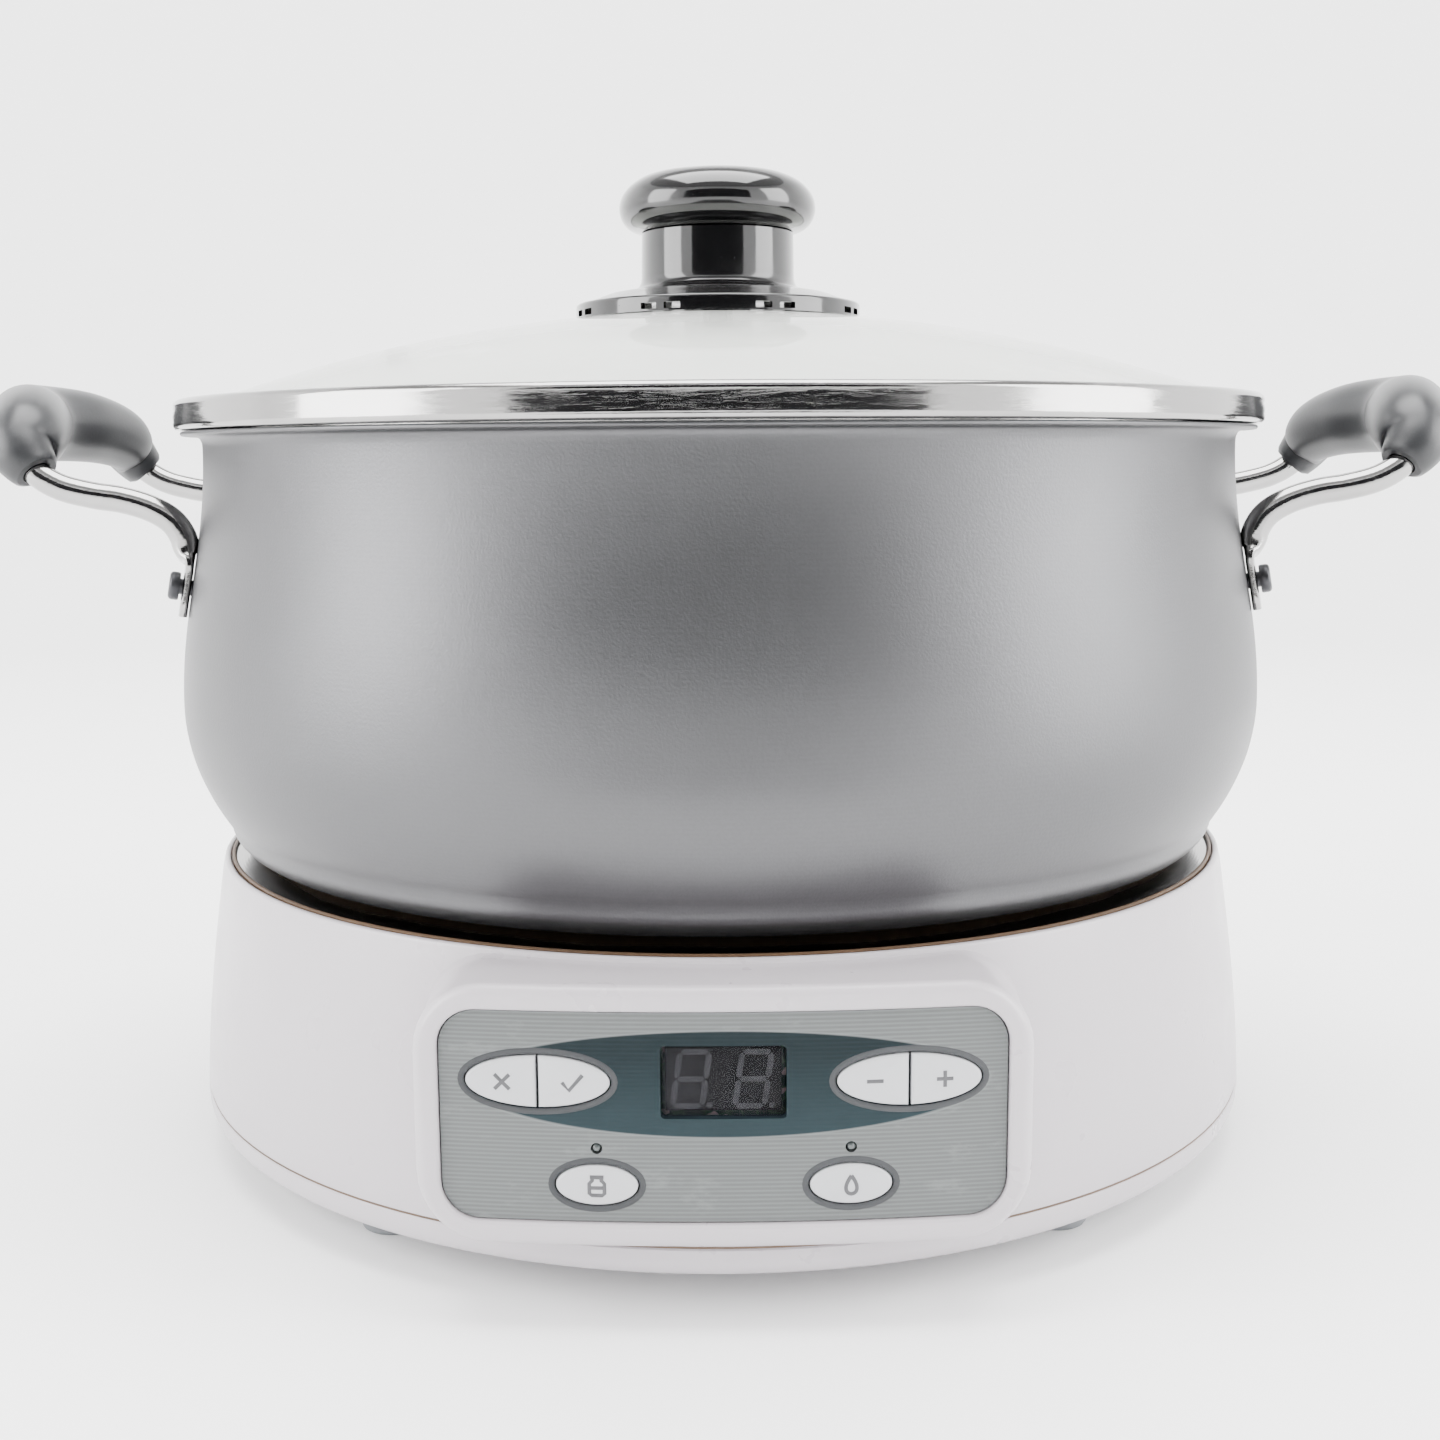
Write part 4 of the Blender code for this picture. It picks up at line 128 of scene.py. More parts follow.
# ---- Handles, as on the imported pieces
LEG_OFFSET = 0.0430
STRAP_THICKNESS = 0.0022
STRAP_WIDTH = 0.0095
STRAP_BOTTOM = 0.0622
STRAP_TOP = 0.0760
RIVET_HEIGHT = 0.0694
WIRE_R = 0.0034
LEG_BENDS = (
    (0.0008, 0.0000, 0.0020),
    (0.0014, 0.0000, 0.0062),
    (0.0042, 0.0000, 0.0105),
    (0.0096, 0.0000, 0.0137),
    (0.0166, 0.0000, 0.0158),
    (0.0236, 0.0000, 0.0169),
    (0.0316, 0.0000, 0.0190),
    (0.0376, 0.0005, 0.0226),
)
GRIP_BENDS = (
    (0.0376, 0.0005, 0.0226),
    (0.0418, 0.0030, 0.0278),
    (0.0431, 0.0100, 0.0322),
    (0.0475, 0.0240, 0.0350),
    (0.0536, LEG_OFFSET, 0.0358),
)


def colour(name, default, about):
    return FloatVectorProperty(
        name=name, description=about, subtype="COLOR", size=3, min=0.0, max=1.0, default=default
    )


def length(name, default, about):
    return FloatProperty(name=name, description=about, default=default, min=0.0, unit="LENGTH")


class CookerSizes(PropertyGroup):
    """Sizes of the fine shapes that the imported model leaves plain."""

    facets: IntProperty(
        name="Facets", description="Facets round the large turned pieces", default=144, min=24
    )
    small_facets: IntProperty(
        name="Small facets", description="Facets round the small turned pieces", default=40, min=12
    )
    rim_radius: length("Housing rim", 0.1362, "Outer radius of the housing at its top rim")
    housing_wall: length("Housing wall", 0.0018, "Wall of the housing")
    bow_radius: length("Panel bow", 0.4250, "Radius that the key panel is bowed to")
    bezel_edge: length("Bezel edge", 0.0026, "Rounding of the bezel's outer front edge")
    key_edge: length("Key edge", 0.0007, "Rounding of the edges of the keys")
    key_crown: length("Key crown", 0.0003, "How far a key's middle stands above its edge")
    digit_height: length("Digit height", 0.0127, "Height of a display digit")
    digit_width: length("Digit width", 0.0072, "Width of a display digit")
    grip_end: length("Grip end", 0.0056, "Radius of a grip where the wire enters it")
    grip_middle: length("Grip middle", 0.0105, "Radius of a grip at its middle")


class CookerColours(PropertyGroup):
    """Colours of the finishes."""

    plastic: colour("Plastic", (0.39, 0.362, 0.385), "Housing, bezel and base cover")
    panel: colour("Panel", (0.110, 0.116, 0.116), "Film on the key panel")
    band: colour("Band", (0.0085, 0.0150, 0.0175), "Dark oval round the display")
    key: colour("Key", (0.40, 0.405, 0.42), "Rubber keys")
    outline: colour("Outline", (0.045, 0.047, 0.050), "Print round the keys")
    legend: colour("Legend", (0.060, 0.060, 0.065), "Signs on the keys")
    segment: colour("Segment", (0.040, 0.040, 0.045), "Unlit display segments")
    pot: colour("Pot", (0.098, 0.098, 0.102), "Satin outside and inside of the pot")
    steel: colour("Steel", (0.34, 0.335, 0.33), "Polished steel")
    rivet: colour("Rivet", (0.06, 0.06, 0.065), "Rivets and screws")
    grip: colour("Grip", (0.010, 0.0105, 0.012), "Handle grips")
    knob: colour("Knob", (0.002, 0.002, 0.0022), "Lid knob")
    glass: colour("Glass", (0.86, 0.88, 0.84), "Lid glass")
    foot: colour("Foot", (0.17, 0.18, 0.19), "Rubber feet")
    seam: colour("Seam", (0.09, 0.05, 0.025), "Seal that shows in the seams")


class CookerStage(PropertyGroup):
    """Floor, lights and camera."""

    floor: colour("Floor", (0.96, 0.96, 0.96), "Floor and backdrop")
    radius: length("Floor radius", 2.2, "Radius of the round backdrop")
    top_light: FloatProperty(name="Top light", description="Overhead softbox", default=95.0, unit="POWER")
    side_light: FloatProperty(
        name="Side lights", description="Each side softbox", default=42.0, unit="POWER"
    )
    distance: length("Camera distance", 0.4847, "From the pot's axis to the camera")
    rise: length("Camera rise", 0.1029, "Camera height above the housing's rim")
    tilt: FloatProperty(
        name="Camera tilt", description="Downward angle", default=math.radians(8.62), unit="ROTATION"
    )
    roll: FloatProperty(
        name="Camera roll", description="Roll about the view", default=math.radians(-0.39), unit="ROTATION"
    )
    focal: FloatProperty(name="Focal length", description="In millimetres", default=43.4, unit="CAMERA")


def sizes():
    return bpy.context.scene.cooker_sizes


def colours():
    return bpy.context.scene.cooker_colours


# ---- Shader expressions


class Wire:
    """A value, colour or vector in a node tree; arithmetic on it adds the nodes."""

    def __init__(self, tree, socket):
        self.tree = tree
        self.socket = socket

    def maths(self, operation, *values):
        return self.tree.node("ShaderNodeMath", {"operation": operation}, list(values))

    def __add__(self, other):
        return self.maths("ADD", self, other)

    def __radd__(self, other):
        return self.maths("ADD", other, self)

    def __sub__(self, other):
        return self.maths("SUBTRACT", self, other)

    def __rsub__(self, other):
        return self.maths("SUBTRACT", other, self)

    def __mul__(self, other):
        return self.maths("MULTIPLY", self, other)

    def __rmul__(self, other):
        return self.maths("MULTIPLY", other, self)

    def __truediv__(self, other):
        return self.maths("DIVIDE", self, other)

    def __pow__(self, other):
        return self.maths("POWER", self, other)

    def sine(self):
        return self.maths("SINE", self)

    def size(self):
        return self.maths("ABSOLUTE", self)

    def ramp(self, low, high, start=0.0, end=1.0):
        """A smooth step from start to end as the value goes from low to high."""
        settings = {"interpolation_type": "SMOOTHSTEP"}
        inputs = {"Value": self, "From Min": low, "From Max": high, "To Min": start, "To Max": end}
        return self.tree.node("ShaderNodeMapRange", settings, inputs)


class Finish:
    """A material, built from expressions on its node tree."""

    def __init__(self, name):
        self.material = bpy.data.materials.new(name)
        self.material.use_nodes = True
        self.nodes = self.material.node_tree.nodes
        self.links = self.material.node_tree.links
        self.shader = self.nodes["Principled BSDF"]

    def node(self, kind, settings=None, inputs=None, output=0):
        made = self.nodes.new(kind)
        for key, value in (settings or {}).items():
            setattr(made, key, value)
        pairs = enumerate(inputs) if isinstance(inputs, list) else (inputs or {}).items()
        for key, value in pairs:
            self.feed(made.inputs[key], value)
        return Wire(self, made.outputs[output])

    def feed(self, socket, value):
        if isinstance(value, Wire):
            self.links.new(value.socket, socket)
        elif hasattr(value, "__len__") and len(value) == 3 and socket.type == "RGBA":
            socket.default_value = (*value, 1.0)
        else:
            socket.default_value = value

    def places(self):
        """The X, Y and Z of a surface point, in metres."""
        spot = self.node("ShaderNodeTexCoord", output="Object")
        split = self.nodes.new("ShaderNodeSeparateXYZ")
        self.links.new(spot.socket, split.inputs[0])
        return [Wire(self, out) for out in split.outputs]

    def spot(self):
        return self.node("ShaderNodeTexCoord", output="Object")

    def stretched(self, scale):
        return self.node("ShaderNodeMapping", {}, {"Vector": self.spot(), "Scale": scale})

    def noise(self, scale, detail=2.0, vector=None, roughness=0.5):
        inputs = {"Vector": vector or self.spot(), "Scale": scale, "Detail": detail, "Roughness": roughness}
        return self.node("ShaderNodeTexNoise", {}, inputs)

    def blend(self, amount, first, second):
        """The first colour where the amount is 0 and the second where it is 1."""
        made = self.nodes.new("ShaderNodeMix")
        made.data_type = "RGBA"
        self.feed(made.inputs["Factor"], amount)
        self.feed(made.inputs[6], first)
        self.feed(made.inputs[7], second)
        return Wire(self, made.outputs[2])

    def bump(self, height, distance, strength=1.0):
        inputs = {"Height": height, "Distance": distance, "Strength": strength}
        self.feed(self.shader.inputs["Normal"], self.node("ShaderNodeBump", {}, inputs))

    def set(self, **values):
        """Shader sockets by name, with underscores for spaces."""
        for key, value in values.items():
            self.feed(self.shader.inputs[key.replace("_", " ")], value)
        return self


def darker(value, amount):
    return tuple(part * amount for part in value)


FINISHES = {}


def finish(maker):
    """Marks a function that builds one material; it runs once, on first use."""

    def once():
        if maker.__name__ not in FINISHES:
            FINISHES[maker.__name__] = maker(Finish(maker.__name__)).material
        return FINISHES[maker.__name__]

    return once


def grain(made, base, depth, scale, share=0.08):
    """A base colour with cloudy variation and a fine grain in the surface."""
    cloud = made.noise(14.0, 3.0).ramp(0.3, 0.7)
    made.set(Base_Color=made.blend(cloud, darker(base, 1 - share), base))
    made.bump(made.noise(scale, 2.0), depth)
    return made


@finish
def white_plastic(made):
    """Semi-gloss moulded plastic: orange-peel skin, and handling marks in the gloss."""
    base = tuple(colours().plastic)
    cloud = made.noise(9.0, 4.0).ramp(0.35, 0.7)
    fleck = made.noise(1500.0, 1.0).ramp(0.66, 0.76)
    body = made.blend(cloud, darker(base, 0.965), base)
    made.set(Base_Color=made.blend(fleck * 0.12, body, darker(base, 0.7)))
    uneven = made.noise(60.0, 4.0).ramp(0.3, 0.7, 0.27, 0.37)
    made.set(Roughness=uneven, Coat_Weight=0.15, Coat_Roughness=0.12)
    made.bump(made.noise(420.0, 2.0), 0.00004)
    return made


@finish
def panel_film(made):
    """Grey film with fine level lines, a dark oval band and faint scuffs."""
    x, _, z = made.places()
    lines = (z * (2 * math.pi / 0.00092)).sine().ramp(-0.6, 0.9)
    metal = made.blend(lines, darker(colours().panel, 0.86), darker(colours().panel, 1.10))
    scuff = made.noise(55.0, 6.0, made.stretched((1.0, 1.0, 2.2)), 0.65).ramp(0.55, 0.66)
    metal = made.blend(scuff * 0.30, metal, darker(colours().panel, 1.75))
    across = (x - 0.0003) / 0.0535
    along = (z - (PANEL_Z + 0.0071)) / 0.0113
    reach = across * across + along * along
    inside = reach.ramp(0.985, 1.015, 1.0, 0.0)
    edge = (reach - 1.0).size().ramp(0.01, 0.05, 1.0, 0.0)
    band_tone = z.ramp(PANEL_Z - 0.004, PANEL_Z + 0.017)
    band = made.blend(band_tone, darker(colours().band, 1.5), darker(colours().band, 0.75))
    band = made.blend(lines * 0.2, band, darker(colours().band, 1.6))
    whole = made.blend(inside, metal, band)
    made.set(Base_Color=made.blend(edge * 0.5, whole, darker(colours().panel, 1.5)))
    made.set(Metallic=inside.ramp(0.0, 1.0, 0.35, 0.1), Roughness=scuff.ramp(0.0, 1.0, 0.34, 0.5))
    made.set(Specular_IOR_Level=0.10)
    made.bump(lines, 0.00002)
    return made


@finish
def key_rubber(made):
    uneven = made.noise(220.0, 2.0).ramp(0.3, 0.7, 0.33, 0.45)
    made.set(Roughness=uneven, Coat_Weight=0.2, Coat_Roughness=0.2)
    return grain(made, tuple(colours().key), 0.00002, 2600.0, 0.05)


@finish
def key_outline(made):
    """Worn grey print round the keys."""
    made.set(Roughness=made.noise(300.0, 3.0).ramp(0.3, 0.7, 0.45, 0.6), Specular_IOR_Level=0.15)
    return grain(made, tuple(colours().outline), 0.00001, 2400.0, 0.2)


@finish
def legend_ink(made):
    made.set(Roughness=0.5)
    return grain(made, tuple(colours().legend), 0.00001, 3000.0, 0.15)


@finish
def display_segment(made):
    """Unlit segments, a little uneven in tone."""
    shade = made.noise(900.0, 1.0).ramp(0.3, 0.7)
    base = tuple(colours().segment)
    made.set(Base_Color=made.blend(shade, darker(base, 0.85), darker(base, 1.2)), Roughness=0.4)
    made.set(Specular_IOR_Level=0.15)
    return made


@finish
def smoked_black(made):
    made.set(Roughness=made.noise(120.0, 3.0).ramp(0.3, 0.7, 0.22, 0.30), Specular_IOR_Level=0.12)
    return grain(made, (0.006, 0.006, 0.007), 0.000001, 1800.0, 0.1)


@finish
def display_window(made):
    """Smoked clear cover: mostly see-through, with a skin that shines."""
    smear = made.noise(70.0, 4.0).ramp(0.35, 0.7)
    made.set(Base_Color=made.blend(smear, (0.010, 0.010, 0.012), (0.020, 0.020, 0.024)))
    made.set(Roughness=smear.ramp(0.0, 1.0, 0.04, 0.10), Alpha=0.22, Specular_IOR_Level=0.10)
    return made


@finish
def lamp_lens(made):
    made.set(Roughness=0.15, Coat_Weight=0.5)
    return grain(made, (0.05, 0.06, 0.06), 0.00001, 2000.0, 0.3)


@finish
def satin_pot(made):
    """Satin anodised aluminium: fine blasted grain, faint turning lines and dull patches."""
    _, _, z = made.places()
    base = tuple(colours().pot)
    cloud = made.noise(7.0, 4.0, made.stretched((1.0, 1.0, 2.5))).ramp(0.35, 0.68)
    turning = (z * (2 * math.pi / 0.0011) + made.noise(30.0, 2.0) * 8.0).sine().ramp(-1.0, 1.0)
    speck = made.noise(1700.0, 2.0).ramp(0.35, 0.65)
    body = made.blend(cloud, darker(base, 0.93), darker(base, 1.04))
    body = made.blend(turning * 0.10, body, darker(base, 1.16))
    made.set(Base_Color=made.blend(speck * 0.16, body, darker(base, 1.22)), Metallic=0.92)
    made.set(Roughness=cloud.ramp(0.0, 1.0, 0.38, 0.44))
    made.bump(speck + turning * 0.12, 0.000012)
    return made


@finish
def polished_steel(made):
    """Bright steel with hair scratches and a few dull smears."""
    base = tuple(colours().steel)
    hair = made.noise(90.0, 6.0, made.stretched((1.0, 1.0, 14.0)), 0.7).ramp(0.45, 0.62)
    smear = made.noise(40.0, 4.0).ramp(0.45, 0.75)
    made.set(Base_Color=made.blend(smear, base, darker(base, 0.86)), Metallic=1.0)
    made.set(Roughness=(hair * 0.05 + smear * 0.06) + 0.07)
    made.bump(hair, 0.000004)
    return made


@finish
def bowl_steel(made):
    """The heater's dish: bright, with a brown painted reflection from its middle out to the flange, and
    turning lines.
    """
    x, y, _ = made.places()
    radius = (x * x + y * y) ** 0.5
    rings = (radius * (2 * math.pi / 0.0008)).sine().ramp(-1.0, 1.0)
    # Brown inside the outer flange is a painted reflection, and the steel is made rougher there.
    painted_brown_reflection = (radius + made.noise(30.0, 3.0) * 0.006).ramp(0.126, 0.133, 1.0, 0.0)
    base = made.blend(painted_brown_reflection, darker(colours().steel, 0.62), (0.34, 0.25, 0.15))
    made.set(Base_Color=made.blend(rings * 0.15, base, (0.42, 0.41, 0.40)), Metallic=1.0)
    made.set(Roughness=painted_brown_reflection.ramp(0.0, 1.0, 0.16, 0.34))
    made.bump(rings, 0.000006)
    return made


@finish
def dark_rivet(made):
    made.set(Metallic=0.85, Roughness=made.noise(500.0, 3.0).ramp(0.3, 0.7, 0.30, 0.48))
    return grain(made, tuple(colours().rivet), 0.00002, 1500.0, 0.3)


@finish
def zinc_plate(made):
    made.set(Metallic=1.0, Roughness=made.noise(300.0, 3.0).ramp(0.3, 0.7, 0.28, 0.42))
    return grain(made, (0.42, 0.42, 0.40), 0.00001, 1200.0, 0.2)


@finish
def grip_phenolic(made):
    """Dark satin phenolic with fine mineral specks, and tops that carry a painted highlight in their colour
    and are shinier.
    """
    _, _, z = made.places()
    base = tuple(colours().grip)
    speck = made.noise(2600.0, 1.0).ramp(0.60, 0.72)
    # The upper side of each grip is painted lighter as a painted highlight, and is made a little less
    # rough.
    painted_highlight_top = (z + made.noise(60.0, 3.0) * 0.010).ramp(POT_Z + 0.110, POT_Z + 0.124)
    body = made.blend(painted_highlight_top, base, darker(base, 1.35))
    made.set(Base_Color=made.blend(speck * 0.3, body, darker(base, 3.2)))
    made.set(Roughness=painted_highlight_top.ramp(0.0, 1.0, 0.42, 0.33))
    made.bump(made.noise(1300.0, 2.0), 0.00002)
    return made


@finish
def gloss_phenolic(made):
    """Deep black with a hard shine, wiping marks and a few dust specks."""
    base = tuple(colours().knob)
    dust = made.noise(2200.0, 1.0).ramp(0.74, 0.80)
    wiping = made.noise(35.0, 5.0, made.stretched((1.0, 1.0, 4.0))).ramp(0.4, 0.7)
    made.set(Base_Color=made.blend(dust * 0.25, base, (0.10, 0.10, 0.10)))
    made.set(Roughness=wiping.ramp(0.0, 1.0, 0.10, 0.19), Coat_Weight=0.4, Coat_Roughness=0.06)
    made.bump(made.noise(260.0, 2.0), 0.000012)
    return made


@finish
def lid_glass(made):
    """Faintly green glass that mirrors more at a shallow angle, with water marks."""
    facing = made.node("ShaderNodeLayerWeight", {}, {"Blend": 0.35}, "Fresnel")
    marks = made.noise(26.0, 6.0, None, 0.6).ramp(0.52, 0.70)
    tone = made.blend(marks, tuple(colours().glass), (0.93, 0.93, 0.92))
    made.set(Base_Color=tone, Roughness=marks.ramp(0.0, 1.0, 0.03, 0.09))
    made.set(Alpha=(facing * 0.50 + marks * 0.05) + 0.32)
    return made


@finish
def seam_seal(made):
    made.set(Roughness=0.55)
    return grain(made, tuple(colours().seam), 0.00002, 900.0, 0.35)


@finish
def foot_rubber(made):
    made.set(Roughness=made.noise(160.0, 3.0).ramp(0.3, 0.7, 0.62, 0.8))
    return grain(made, tuple(colours().foot), 0.00003, 1400.0, 0.25)


@finish
def silicone(made):
    made.set(Roughness=made.noise(200.0, 2.0).ramp(0.3, 0.7, 0.5, 0.62))
    return grain(made, (0.075, 0.075, 0.08), 0.00002, 1500.0, 0.2)


@finish
def cast_plate(made):
    """Dark coated casting with concentric machining and dry, paler patches."""
    x, y, _ = made.places()
    radius = (x * x + y * y) ** 0.5
    rings = (radius * (2 * math.pi / 0.0016)).sine().ramp(-1.0, 1.0)
    worn = made.noise(22.0, 5.0).ramp(0.5, 0.7)
    made.set(Base_Color=made.blend(worn, (0.030, 0.030, 0.031), (0.060, 0.056, 0.052)))
    made.set(Metallic=0.4, Roughness=worn.ramp(0.0, 1.0, 0.45, 0.62))
    made.bump(rings + made.noise(700.0, 2.0) * 0.4, 0.00004)
    return made


@finish
def sheath_steel(made):
    """A heating tube's sheath, straw and blue from its first heating."""
    heat = made.noise(40.0, 3.0).ramp(0.35, 0.65)
    made.set(Base_Color=made.blend(heat, (0.21, 0.17, 0.12), (0.13, 0.14, 0.17)), Metallic=0.9)
    made.set(Roughness=heat.ramp(0.0, 1.0, 0.38, 0.5))
    made.bump(made.noise(800.0, 2.0), 0.00002)
    return made


@finish
def ceramic(made):
    made.set(Roughness=0.55)
    return grain(made, (0.70, 0.66, 0.60), 0.00004, 900.0, 0.12)


@finish
def white_acetal(made):
    """Waxy moulded gears and gearbox, with grease in the low places."""
    grease = made.noise(120.0, 4.0).ramp(0.52, 0.66)
    made.set(Base_Color=made.blend(grease * 0.5, (0.70, 0.69, 0.65), (0.50, 0.45, 0.33)))
    made.set(Roughness=grease.ramp(0.0, 1.0, 0.42, 0.22))
    made.bump(made.noise(900.0, 2.0), 0.00001)
    return made


@finish
def sintered_bronze(made):
    made.set(Metallic=1.0, Roughness=0.4)
    return grain(made, (0.45, 0.28, 0.12), 0.00004, 2500.0, 0.35)


@finish
def motor_can(made):
    made.set(Metallic=0.95, Roughness=made.noise(60.0, 4.0).ramp(0.3, 0.7, 0.30, 0.44))
    return grain(made, (0.36, 0.36, 0.37), 0.00001, 600.0, 0.18)


@finish
def circuit_board(made):
    """Green board with copper tracks under its lacquer."""
    cells = {"feature": "DISTANCE_TO_EDGE", "distance": "MANHATTAN"}
    tracks = made.node("ShaderNodeTexVoronoi", cells, {"Vector": made.spot(), "Scale": 260.0})
    lines = tracks.ramp(0.03, 0.07, 1.0, 0.0)
    pads = made.noise(420.0, 0.0).ramp(0.70, 0.73)
    board = made.blend(lines, (0.018, 0.085, 0.038), (0.040, 0.150, 0.060))
    made.set(Base_Color=made.blend(pads, board, (0.45, 0.42, 0.36)), Roughness=0.38, Coat_Weight=0.3)
    made.bump(lines + pads, 0.00003)
    return made


@finish
def black_nylon(made):
    """Moulded nylon with a fine spark texture and pale scuffs."""
    scuff = made.noise(70.0, 5.0, made.stretched((3.0, 3.0, 1.0))).ramp(0.58, 0.70)
    made.set(Base_Color=made.blend(scuff * 0.4, (0.016, 0.016, 0.018), (0.09, 0.09, 0.09)))
    made.set(Roughness=scuff.ramp(0.0, 1.0, 0.44, 0.6))
    made.bump(made.noise(1100.0, 2.0), 0.00004)
    return made


@finish
def stage_paper(made):
    made.set(Roughness=0.9)
    return grain(made, tuple(bpy.context.scene.cooker_stage.floor), 0.0001, 60.0, 0.01)


# ---- Modelling helpers


def add_mesh(name, mesh, material):
    made = bpy.data.objects.new(name, mesh)
    mesh.materials.append(material)
    bpy.context.scene.collection.objects.link(made)
    return made


def from_rings(name, rings, material, closed=False, capped=True):
    """A surface through rings of equally many points, with its ends capped or joined."""
    count = len(rings[0])
    points = [tuple(p) for ring in rings for p in ring]
    faces = []
    spans = len(rings) if closed else len(rings) - 1
    for i in range(spans):
        here = i * count
        there = (i + 1) % len(rings) * count
        for j in range(count):
            k = (j + 1) % count
            faces.append((here + j, here + k, there + k, there + j))
    if capped and not closed:
        faces.append(tuple(range(count))[::-1])
        faces.append(tuple(range(len(points) - count, len(points))))
    mesh = bpy.data.meshes.new(name)
    mesh.from_pydata(points, [], faces)
    shell = bmesh.new()
    shell.from_mesh(mesh)
    bmesh.ops.remove_doubles(shell, verts=shell.verts, dist=0.000002)
    bmesh.ops.recalc_face_normals(shell, faces=shell.faces)
    shell.to_mesh(mesh)
    shell.free()
    mesh.shade_smooth()
    mesh.set_sharp_from_angle(angle=math.radians(38))
    return add_mesh(name, mesh, material)


def turned(name, outline, material, facets=None, matrix=Matrix.Identity(4)):
    """A solid of revolution about local Z. An outline that meets the axis at both ends is closed there."""
    facets = facets or sizes().facets
    rings = []
    for radius, height in outline:
        ring = []
        for i in range(facets):
            angle = 2 * math.pi * i / facets
            ring.append(matrix @ Vector((radius * math.cos(angle), radius * math.sin(angle), height)))
        rings.append(ring)
    on_axis = outline[0][0] == 0.0 and outline[-1][0] == 0.0
    return from_rings(name, rings, material, closed=not on_axis, capped=False)


def block(name, low, high, material, edge=0.0, matrix=Matrix.Identity(4)):
    """A box between two corners with rounded edges."""
    mesh = bpy.data.meshes.new(name)
    shell = bmesh.new()
    middle = (Vector(low) + Vector(high)) / 2
    size = Vector(high) - Vector(low)
    shape = Matrix.Translation(middle) @ Matrix.Diagonal((*size, 1.0))
    bmesh.ops.create_cube(shell, size=1.0, matrix=shape)
    if edge:
        bmesh.ops.bevel(shell, geom=shell.edges[:], offset=edge, segments=3, profile=0.5, affect="EDGES")
    bmesh.ops.transform(shell, matrix=matrix, verts=shell.verts)
    shell.to_mesh(mesh)
    shell.free()
    mesh.shade_smooth()
    mesh.set_sharp_from_angle(angle=math.radians(38))
    return add_mesh(name, mesh, material)


def combine(piece, others, operation):
    """Cuts from or joins to a piece, and removes the others."""
    for other in others:
        step = piece.modifiers.new("Step", "BOOLEAN")
        step.operation = operation
        step.solver = "EXACT"
        step.object = other
    bpy.context.view_layer.update()
    graph = bpy.context.evaluated_depsgraph_get()
    mesh = bpy.data.meshes.new_from_object(piece.evaluated_get(graph))
    piece.modifiers.clear()
    piece.data = mesh
    for other in others:
        bpy.data.objects.remove(other)
    mesh.shade_smooth()
    mesh.set_sharp_from_angle(angle=math.radians(30))
    return piece


def spread(first, last, count):
    return [first + (last - first) * i / (count - 1) for i in range(count)]


def arc(centre, half_width, half_height, start, end, steps):
    """Points of an elliptical arc, its angles in degrees."""
    points = []
    for angle in spread(math.radians(start), math.radians(end), steps + 1):
        points.append((centre[0] + half_width * math.cos(angle), centre[1] + half_height * math.sin(angle)))
    return points


def smooth_route(points, per_span):
    """A Catmull-Rom curve through the points."""
    places = [Vector(p) for p in points]
    ends = [2 * places[0] - places[1]] + places + [2 * places[-1] - places[-2]]
    route = []
    for a, b, c, d in zip(ends, ends[1:], ends[2:], ends[3:]):
        for step in range(per_span):
            t = step / per_span
            curve = 2 * b + (c - a) * t + (2 * a - 5 * b + 4 * c - d) * t**2
            route.append(0.5 * (curve + (3 * b - a - 3 * c + d) * t**3))
    route.append(places[-1])
    return route


def carried_frames(route, side):
    """A side and a normal vector at each point of a route, carried along without twist."""
    frames = []
    for i, place in enumerate(route):
        tangent = (route[min(i + 1, len(route) - 1)] - route[max(i - 1, 0)]).normalized()
        side = (side - tangent * side.dot(tangent)).normalized()
        frames.append((place, side, tangent.cross(side)))
    return frames


def place(piece, body, slot, *nodes):
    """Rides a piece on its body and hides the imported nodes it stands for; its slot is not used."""
    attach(piece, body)
    if nodes:
        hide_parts(*nodes)
    return piece


def dress(node, material):
    """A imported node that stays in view, with its finish."""
    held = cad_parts[node]
    held.data.materials.clear()
    held.data.materials.append(material)


# ---- Shared shapes


def housing_radius(z):
    share = (RIM_Z - z) / (RIM_Z - SEAM_Z)
    flare = 0.4 * share + 0.6 * math.sin(share * math.pi / 2)
    return sizes().rim_radius + (SKIRT_R - sizes().rim_radius) * flare


def pot_radius(height):
    """The pot's outside at a height above its underside."""
    if height >= BELLY_HEIGHT:
        span = POT_HEIGHT - NECK_DROP - BELLY_HEIGHT
        turn = min((height - BELLY_HEIGHT) / span, 1.0)
        return BELLY_R - (BELLY_R - NECK_R) * (1 - math.cos(math.pi * turn)) / 2
    deepest = BELLY_HEIGHT - CORNER_HEIGHT
    whole = LOWER_ARC_R - math.sqrt(LOWER_ARC_R**2 - deepest**2)
    fall = LOWER_ARC_R - math.sqrt(LOWER_ARC_R**2 - (BELLY_HEIGHT - height) ** 2)
    return BELLY_R - fall * (BELLY_R - FOOT_R - CORNER_WIDTH) / whole


def dome_z(radius, sink=0.0):
    return DOME_TOP_Z - DOME_R + math.sqrt((DOME_R - sink) ** 2 - radius**2)


def bowed_front(x, drop=0.0):
    """Y of the bowed panel's face, or of a surface a drop behind it."""
    bow = sizes().bow_radius
    return -(PANEL_FRONT - (bow - math.sqrt(bow**2 - x**2)) - drop)


